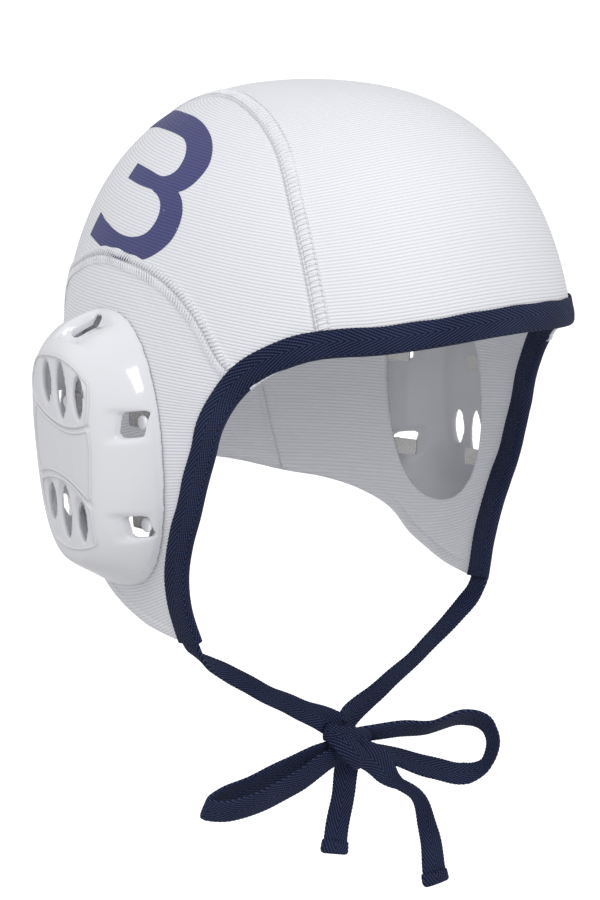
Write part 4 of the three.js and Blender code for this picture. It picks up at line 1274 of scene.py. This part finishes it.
def stitch_threads(name, rows, radius=0.26):
    """Short threads joined in one mesh. Each row is two ends and the direction of the thread's arch."""
    sides, parts = 6, 7
    rows = np.array(rows, float).reshape(-1, 3, 3)
    count = len(rows)
    t = np.linspace(0, 1, parts)
    a, b, up = rows[:, 0], rows[:, 1], rows[:, 2]
    middle = a[:, None] * (1 - t[None, :, None]) + b[:, None] * t[None, :, None]
    arch = (np.sin(math.pi * t) ** 0.6 * 0.22 - 0.2)[None, :, None]
    middle = middle + up[:, None] * arch
    along = (b - a) / np.linalg.norm(b - a, axis=1, keepdims=True)
    across = np.cross(along, up)
    across /= np.linalg.norm(across, axis=1, keepdims=True)
    angle = np.arange(sides) / sides * 2 * math.pi
    c, s = np.cos(angle)[None, None, :, None], np.sin(angle)[None, None, :, None]
    ring = across[:, None, None] * c + up[:, None, None] * s
    taper = (0.35 + 0.65 * np.sin(math.pi * np.clip(t, 0.03, 0.97)) ** 0.5)[None, :, None, None]
    points = middle[:, :, None] + ring * radius * taper
    i, j = (v.ravel() for v in np.meshgrid(np.arange(parts - 1), np.arange(sides), indexing="ij"))
    n = (j + 1) % sides
    one = np.stack([i * sides + j, (i + 1) * sides + j, (i + 1) * sides + n, i * sides + n], axis=1)
    faces = [one + k * parts * sides for k in range(count)]
    return make_piece(name, points.reshape(-1, 3), np.concatenate(faces))


def seam_frame(curve, spacing, start=0.0, end=1.0):
    length = curve_length(curve)
    steps = max(int(length * (end - start) / spacing), 2)
    t = np.linspace(start, end, steps)
    here = curve(t)
    along = np.gradient(here, axis=0)
    along /= np.linalg.norm(along, axis=1, keepdims=True)
    up = form_normal(here)
    across = np.cross(up, along)
    across /= np.linalg.norm(across, axis=1, keepdims=True)
    return here, along, across, up


def crown_stitches(name):
    """A ladder of threads on the centre panel's side of the crown seam."""
    here, along, across, up = seam_frame(crown_seam, 1.75, 0.012, 0.99)
    side = np.sign(across[40, 0])
    rows = []
    for p, a, c, n in zip(here, along, across * side, up):
        near, far = p + c * 0.9, p + c * 5.0 + a * 0.5
        rows.append((on_form(near, 0.62), on_form(far, 0.5), n))
        rows.append((on_form(near - a * 0.75, 0.62), on_form(near + a * 0.75, 0.62), n))
        rows.append((on_form(far - a * 0.75, 0.5), on_form(far + a * 0.75, 0.5), n))
    return stitch_threads(name, rows)


def ear_stitches(name):
    """Two rows of slanting threads that meet in a braid over the ear seam."""
    here, along, across, up = seam_frame(ear_seam, 1.45, 0.02, 0.985)
    rows = []
    for p, a, c, n in zip(here, along, across, up):
        rows.append((on_form(p - c * 0.1 + a * 0.9, 0.55), on_form(p - c * 3.0 - a * 0.7, 0.5), n))
        rows.append((on_form(p + c * 0.1 + a * 0.9 + a * 0.7, 0.55), on_form(p + c * 3.0, 0.5), n))
    return stitch_threads(name, rows, 0.3)


def dress(piece, material):
    piece.data.materials.clear()
    piece.data.materials.append(material)


def finish_piece(piece, material, slot, *nodes):
    dress(piece, material)
    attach(piece, "root")
    if nodes:
        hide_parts(*nodes)
    if piece.name in CUT_SIZES:
        width, length, area, held = CUT_SIZES[piece.name]
        width * MM
        length * MM
        area * MM * MM
    return piece


def finish_pair(right, material, slot, node=None):
    """Finishes a right-hand piece and its mirror image, each with its own side's node."""
    left = mirror_piece(right, right.name.replace("right", "left"))
    for piece, side in ((right, "right"), (left, "left")):
        nodes = [f"{node}_{side}"] if node else []
        finish_piece(piece, material, slot, *nodes)


# Build

finish_piece(centre_panel(), cloth_white, "ribbed_cloth", "centre_panel")
finish_pair(side_panel(), cloth_white, "ribbed_cloth", "side_panel")
finish_pair(ear_panel(), cloth_white, "ribbed_cloth", "ear_panel")
finish_piece(face_binding(), tape_navy, "navy_tape", "face_tape")
finish_pair(crown_stitches("crown_seam_stitches_right"), thread_white, "ribbed_cloth")
finish_pair(ear_stitches("ear_seam_stitches_right"), thread_white, "ribbed_cloth")
for name, mirror in (("number_print_right", False), ("number_print_left", True)):
    finish_piece(number_print(name, mirror), print_navy, "navy_tape")

finish_pair(strap("chin_tie_right", TIE_ROUTE, TIE_WIDTHS), tape_navy, "navy_tape", "tie")
straps = [
    ("loop_right", bow_rows(LOOP_NEAR), NEAR_LOOP_WIDTHS, dict(seed=2.0), "bow_loop_right"),
    ("loop_left", bow_rows(LOOP_FAR), FAR_LOOP_WIDTHS, dict(seed=4.0), "bow_loop_left"),
    ("tail_right", bow_rows(TAIL_NEAR), NEAR_TAIL_WIDTHS, dict(seed=5.0, hem=HEM), "bow_tail_right"),
    ("tail_left", bow_rows(TAIL_FAR), FAR_TAIL_WIDTHS, dict(seed=6.0, hem=HEM), "bow_tail_left"),
]
for name, rows, width_at, options, node in straps:
    finish_piece(strap(name, rows, width_at, **options), tape_navy, "navy_tape", node)
finish_piece(knot_core("knot_core"), tape_navy, "navy_tape", "bow_knot")
near_widths = [(0, 0.8), (0.35, 1.0), (0.62, 1.0), (1, 0.75)]
top_widths = [(0, 0.9), (0.5, 0.9), (1, 0.7)]
wraps = [
    knot_wrap("knot_wrap_near", -34, 214, 50, 7.8, 7.2, 8.0, near_widths, lift=-1.2),
    knot_wrap("knot_wrap_top", 20, 190, 12, 8.2, 4.6, 7.2, top_widths, lift=4.0, turn=-6),
]
for wrap in wraps:
    finish_piece(wrap, tape_navy, "navy_tape")

finish_pair(ear_guard(), plastic_white, "guard_plastic", "ear_guard")
for end, direction in (("front", -1), ("rear", 1)):
    for level, up, _ in WINDOWS:
        tape = guard_tape(f"tape_{end}_{level}_right", direction, up)
        seat = sideways(inside_rim(direction, PEG["from_rim"], up), up)
        seat = seat - np.array([GUARD["seat"] * 2.6 + GUARD_TAPE["thickness"], 0, 0])
        pin = peg(f"peg_{end}_{level}_right", seat)
        finish_pair(tape, webbing_white, "white_webbing", f"guard_tape_{end}_{level}")
        finish_pair(pin, plastic_white, "guard_plastic", f"guard_peg_{end}_{level}")

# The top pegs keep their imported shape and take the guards' finish
for node in ("guard_peg_top_right", "guard_peg_top_left"):
    dress(frame["nodes"][node], plastic_white)

# Camera, floor and light

AZIMUTH, ELEVATION, ROLL = math.radians(42), math.radians(10.5), math.radians(0.5)
DISTANCE = 1.2
FOCAL_PIXELS = 3420
PICTURE_HEIGHT = 900
SENSOR = 36
# Where the form's centre lies in the picture, in pixels right of and above its middle
CENTRE_OFFSET = (13.8, 38.0)


def photo_camera():
    flat = math.cos(ELEVATION)
    back = Vector((-math.sin(AZIMUTH) * flat, -math.cos(AZIMUTH) * flat, math.sin(ELEVATION)))
    level = Vector((math.cos(AZIMUTH), -math.sin(AZIMUTH), 0))
    above = level.cross(-back)
    right = level * math.cos(ROLL) - above * math.sin(ROLL)
    up = level * math.sin(ROLL) + above * math.cos(ROLL)
    aim = -back - right * CENTRE_OFFSET[0] / FOCAL_PIXELS - up * CENTRE_OFFSET[1] / FOCAL_PIXELS
    aim.normalize()
    right = (right - aim * right.dot(aim)).normalized()
    up = right.cross(aim)
    data = bpy.data.cameras.new("photo_camera")
    data.sensor_width = SENSOR
    data.lens = FOCAL_PIXELS / PICTURE_HEIGHT * SENSOR
    data.clip_start, data.clip_end = 0.05, 20
    camera = bpy.data.objects.new("photo_camera", data)
    bpy.context.scene.collection.objects.link(camera)
    place = Vector((0, 0, -FORM_LIFT * MM)) + back * DISTANCE
    turn = Matrix((right, up, -aim)).transposed().to_4x4()
    camera.matrix_world = Matrix.Translation(place) @ turn
    bpy.context.scene.camera = camera


photo_camera()
FLOOR_LEVEL = -0.345


def floor_piece():
    deselect()
    bpy.ops.mesh.primitive_plane_add(size=12, location=(0, 0, FLOOR_LEVEL))
    floor = bpy.context.object
    floor.name = "floor"
    finish = Finish("pale_floor", Roughness=0.95, Specular_IOR_Level=0.0)
    speck = finish.noise(finish.place(), 3.0, 3.0)
    finish.feed(Base_Color=finish.mix(speck, (0.97, 0.97, 0.975), (0.95, 0.95, 0.955)))
    floor.data.materials.append(finish.material)
    floor.visible_diffuse = False
    floor.visible_glossy = False
    return floor


def lamp(name, place, target, size, power, lights, mirrored_in_gloss=True):
    """A soft box that faces target. lights is the collection that it falls on."""
    data = bpy.data.lights.new(name, "AREA")
    data.shape = "RECTANGLE"
    data.size, data.size_y = size
    data.energy = power
    light = bpy.data.objects.new(name, data)
    light.location = place
    light.rotation_euler = (Vector(target) - Vector(place)).to_track_quat("-Z", "Y").to_euler()
    light.light_linking.receiver_collection = lights
    light.visible_glossy = mirrored_in_gloss
    bpy.context.scene.collection.objects.link(light)
    return light


def from_camera(turn, rise, distance, target):
    """A place seen from the target at this turn right of the camera and this height, in degrees."""
    azimuth, height = AZIMUTH - math.radians(turn), math.radians(rise)
    flat = distance * math.cos(height)
    return (target[0] - math.sin(azimuth) * flat, target[1] - math.cos(azimuth) * flat,
            target[2] + distance * math.sin(height))


floor = floor_piece()
floor_set = bpy.data.collections.new("lit_floor")
floor_set.objects.link(floor)
cap_set = bpy.data.collections.new("lit_cap")
for piece in bpy.context.scene.objects:
    if piece.type == "MESH" and piece is not floor:
        cap_set.objects.link(piece)

world = bpy.data.worlds.new("studio")
world.use_nodes = True
world.node_tree.nodes["Background"].inputs["Color"].default_value = (0.985, 0.985, 1.0, 1)
world.node_tree.nodes["Background"].inputs["Strength"].default_value = 0.62
bpy.context.scene.world = world
bpy.context.scene.view_settings.view_transform = "Standard"

sun = bpy.data.lights.new("floor_light", "SUN")
sun.energy = 2.1
sun.angle = math.radians(60)
overhead = bpy.data.objects.new("floor_light", sun)
overhead.light_linking.receiver_collection = floor_set
overhead.light_linking.blocker_collection = floor_set
bpy.context.scene.collection.objects.link(overhead)

middle = (0, 0, -0.12)
lamp("key", from_camera(32, 33, 1.6, middle), middle, (0.9, 0.9), 8.8, cap_set, mirrored_in_gloss=False)
lamp("top", from_camera(-50, 45, 1.5, middle), middle, (0.8, 0.8), 5.2, cap_set, mirrored_in_gloss=False)
shoulder = (-0.084, -0.006, -0.0925)
gloss = lamp("gloss", from_camera(57, 31, 1.3, shoulder), shoulder, (0.5, 0.42), 3.6, cap_set)
gloss.visible_diffuse = False

peg_set = bpy.data.collections.new("lit_pegs")
for piece in cap_set.objects:
    if piece.name.startswith(("tape_", "peg_")):
        peg_set.objects.link(piece)
inner = lamp("inner", from_camera(10, 12, 1.4, middle), middle, (0.7, 0.7), 6.0, peg_set)
inner.light_linking.blocker_collection = peg_set
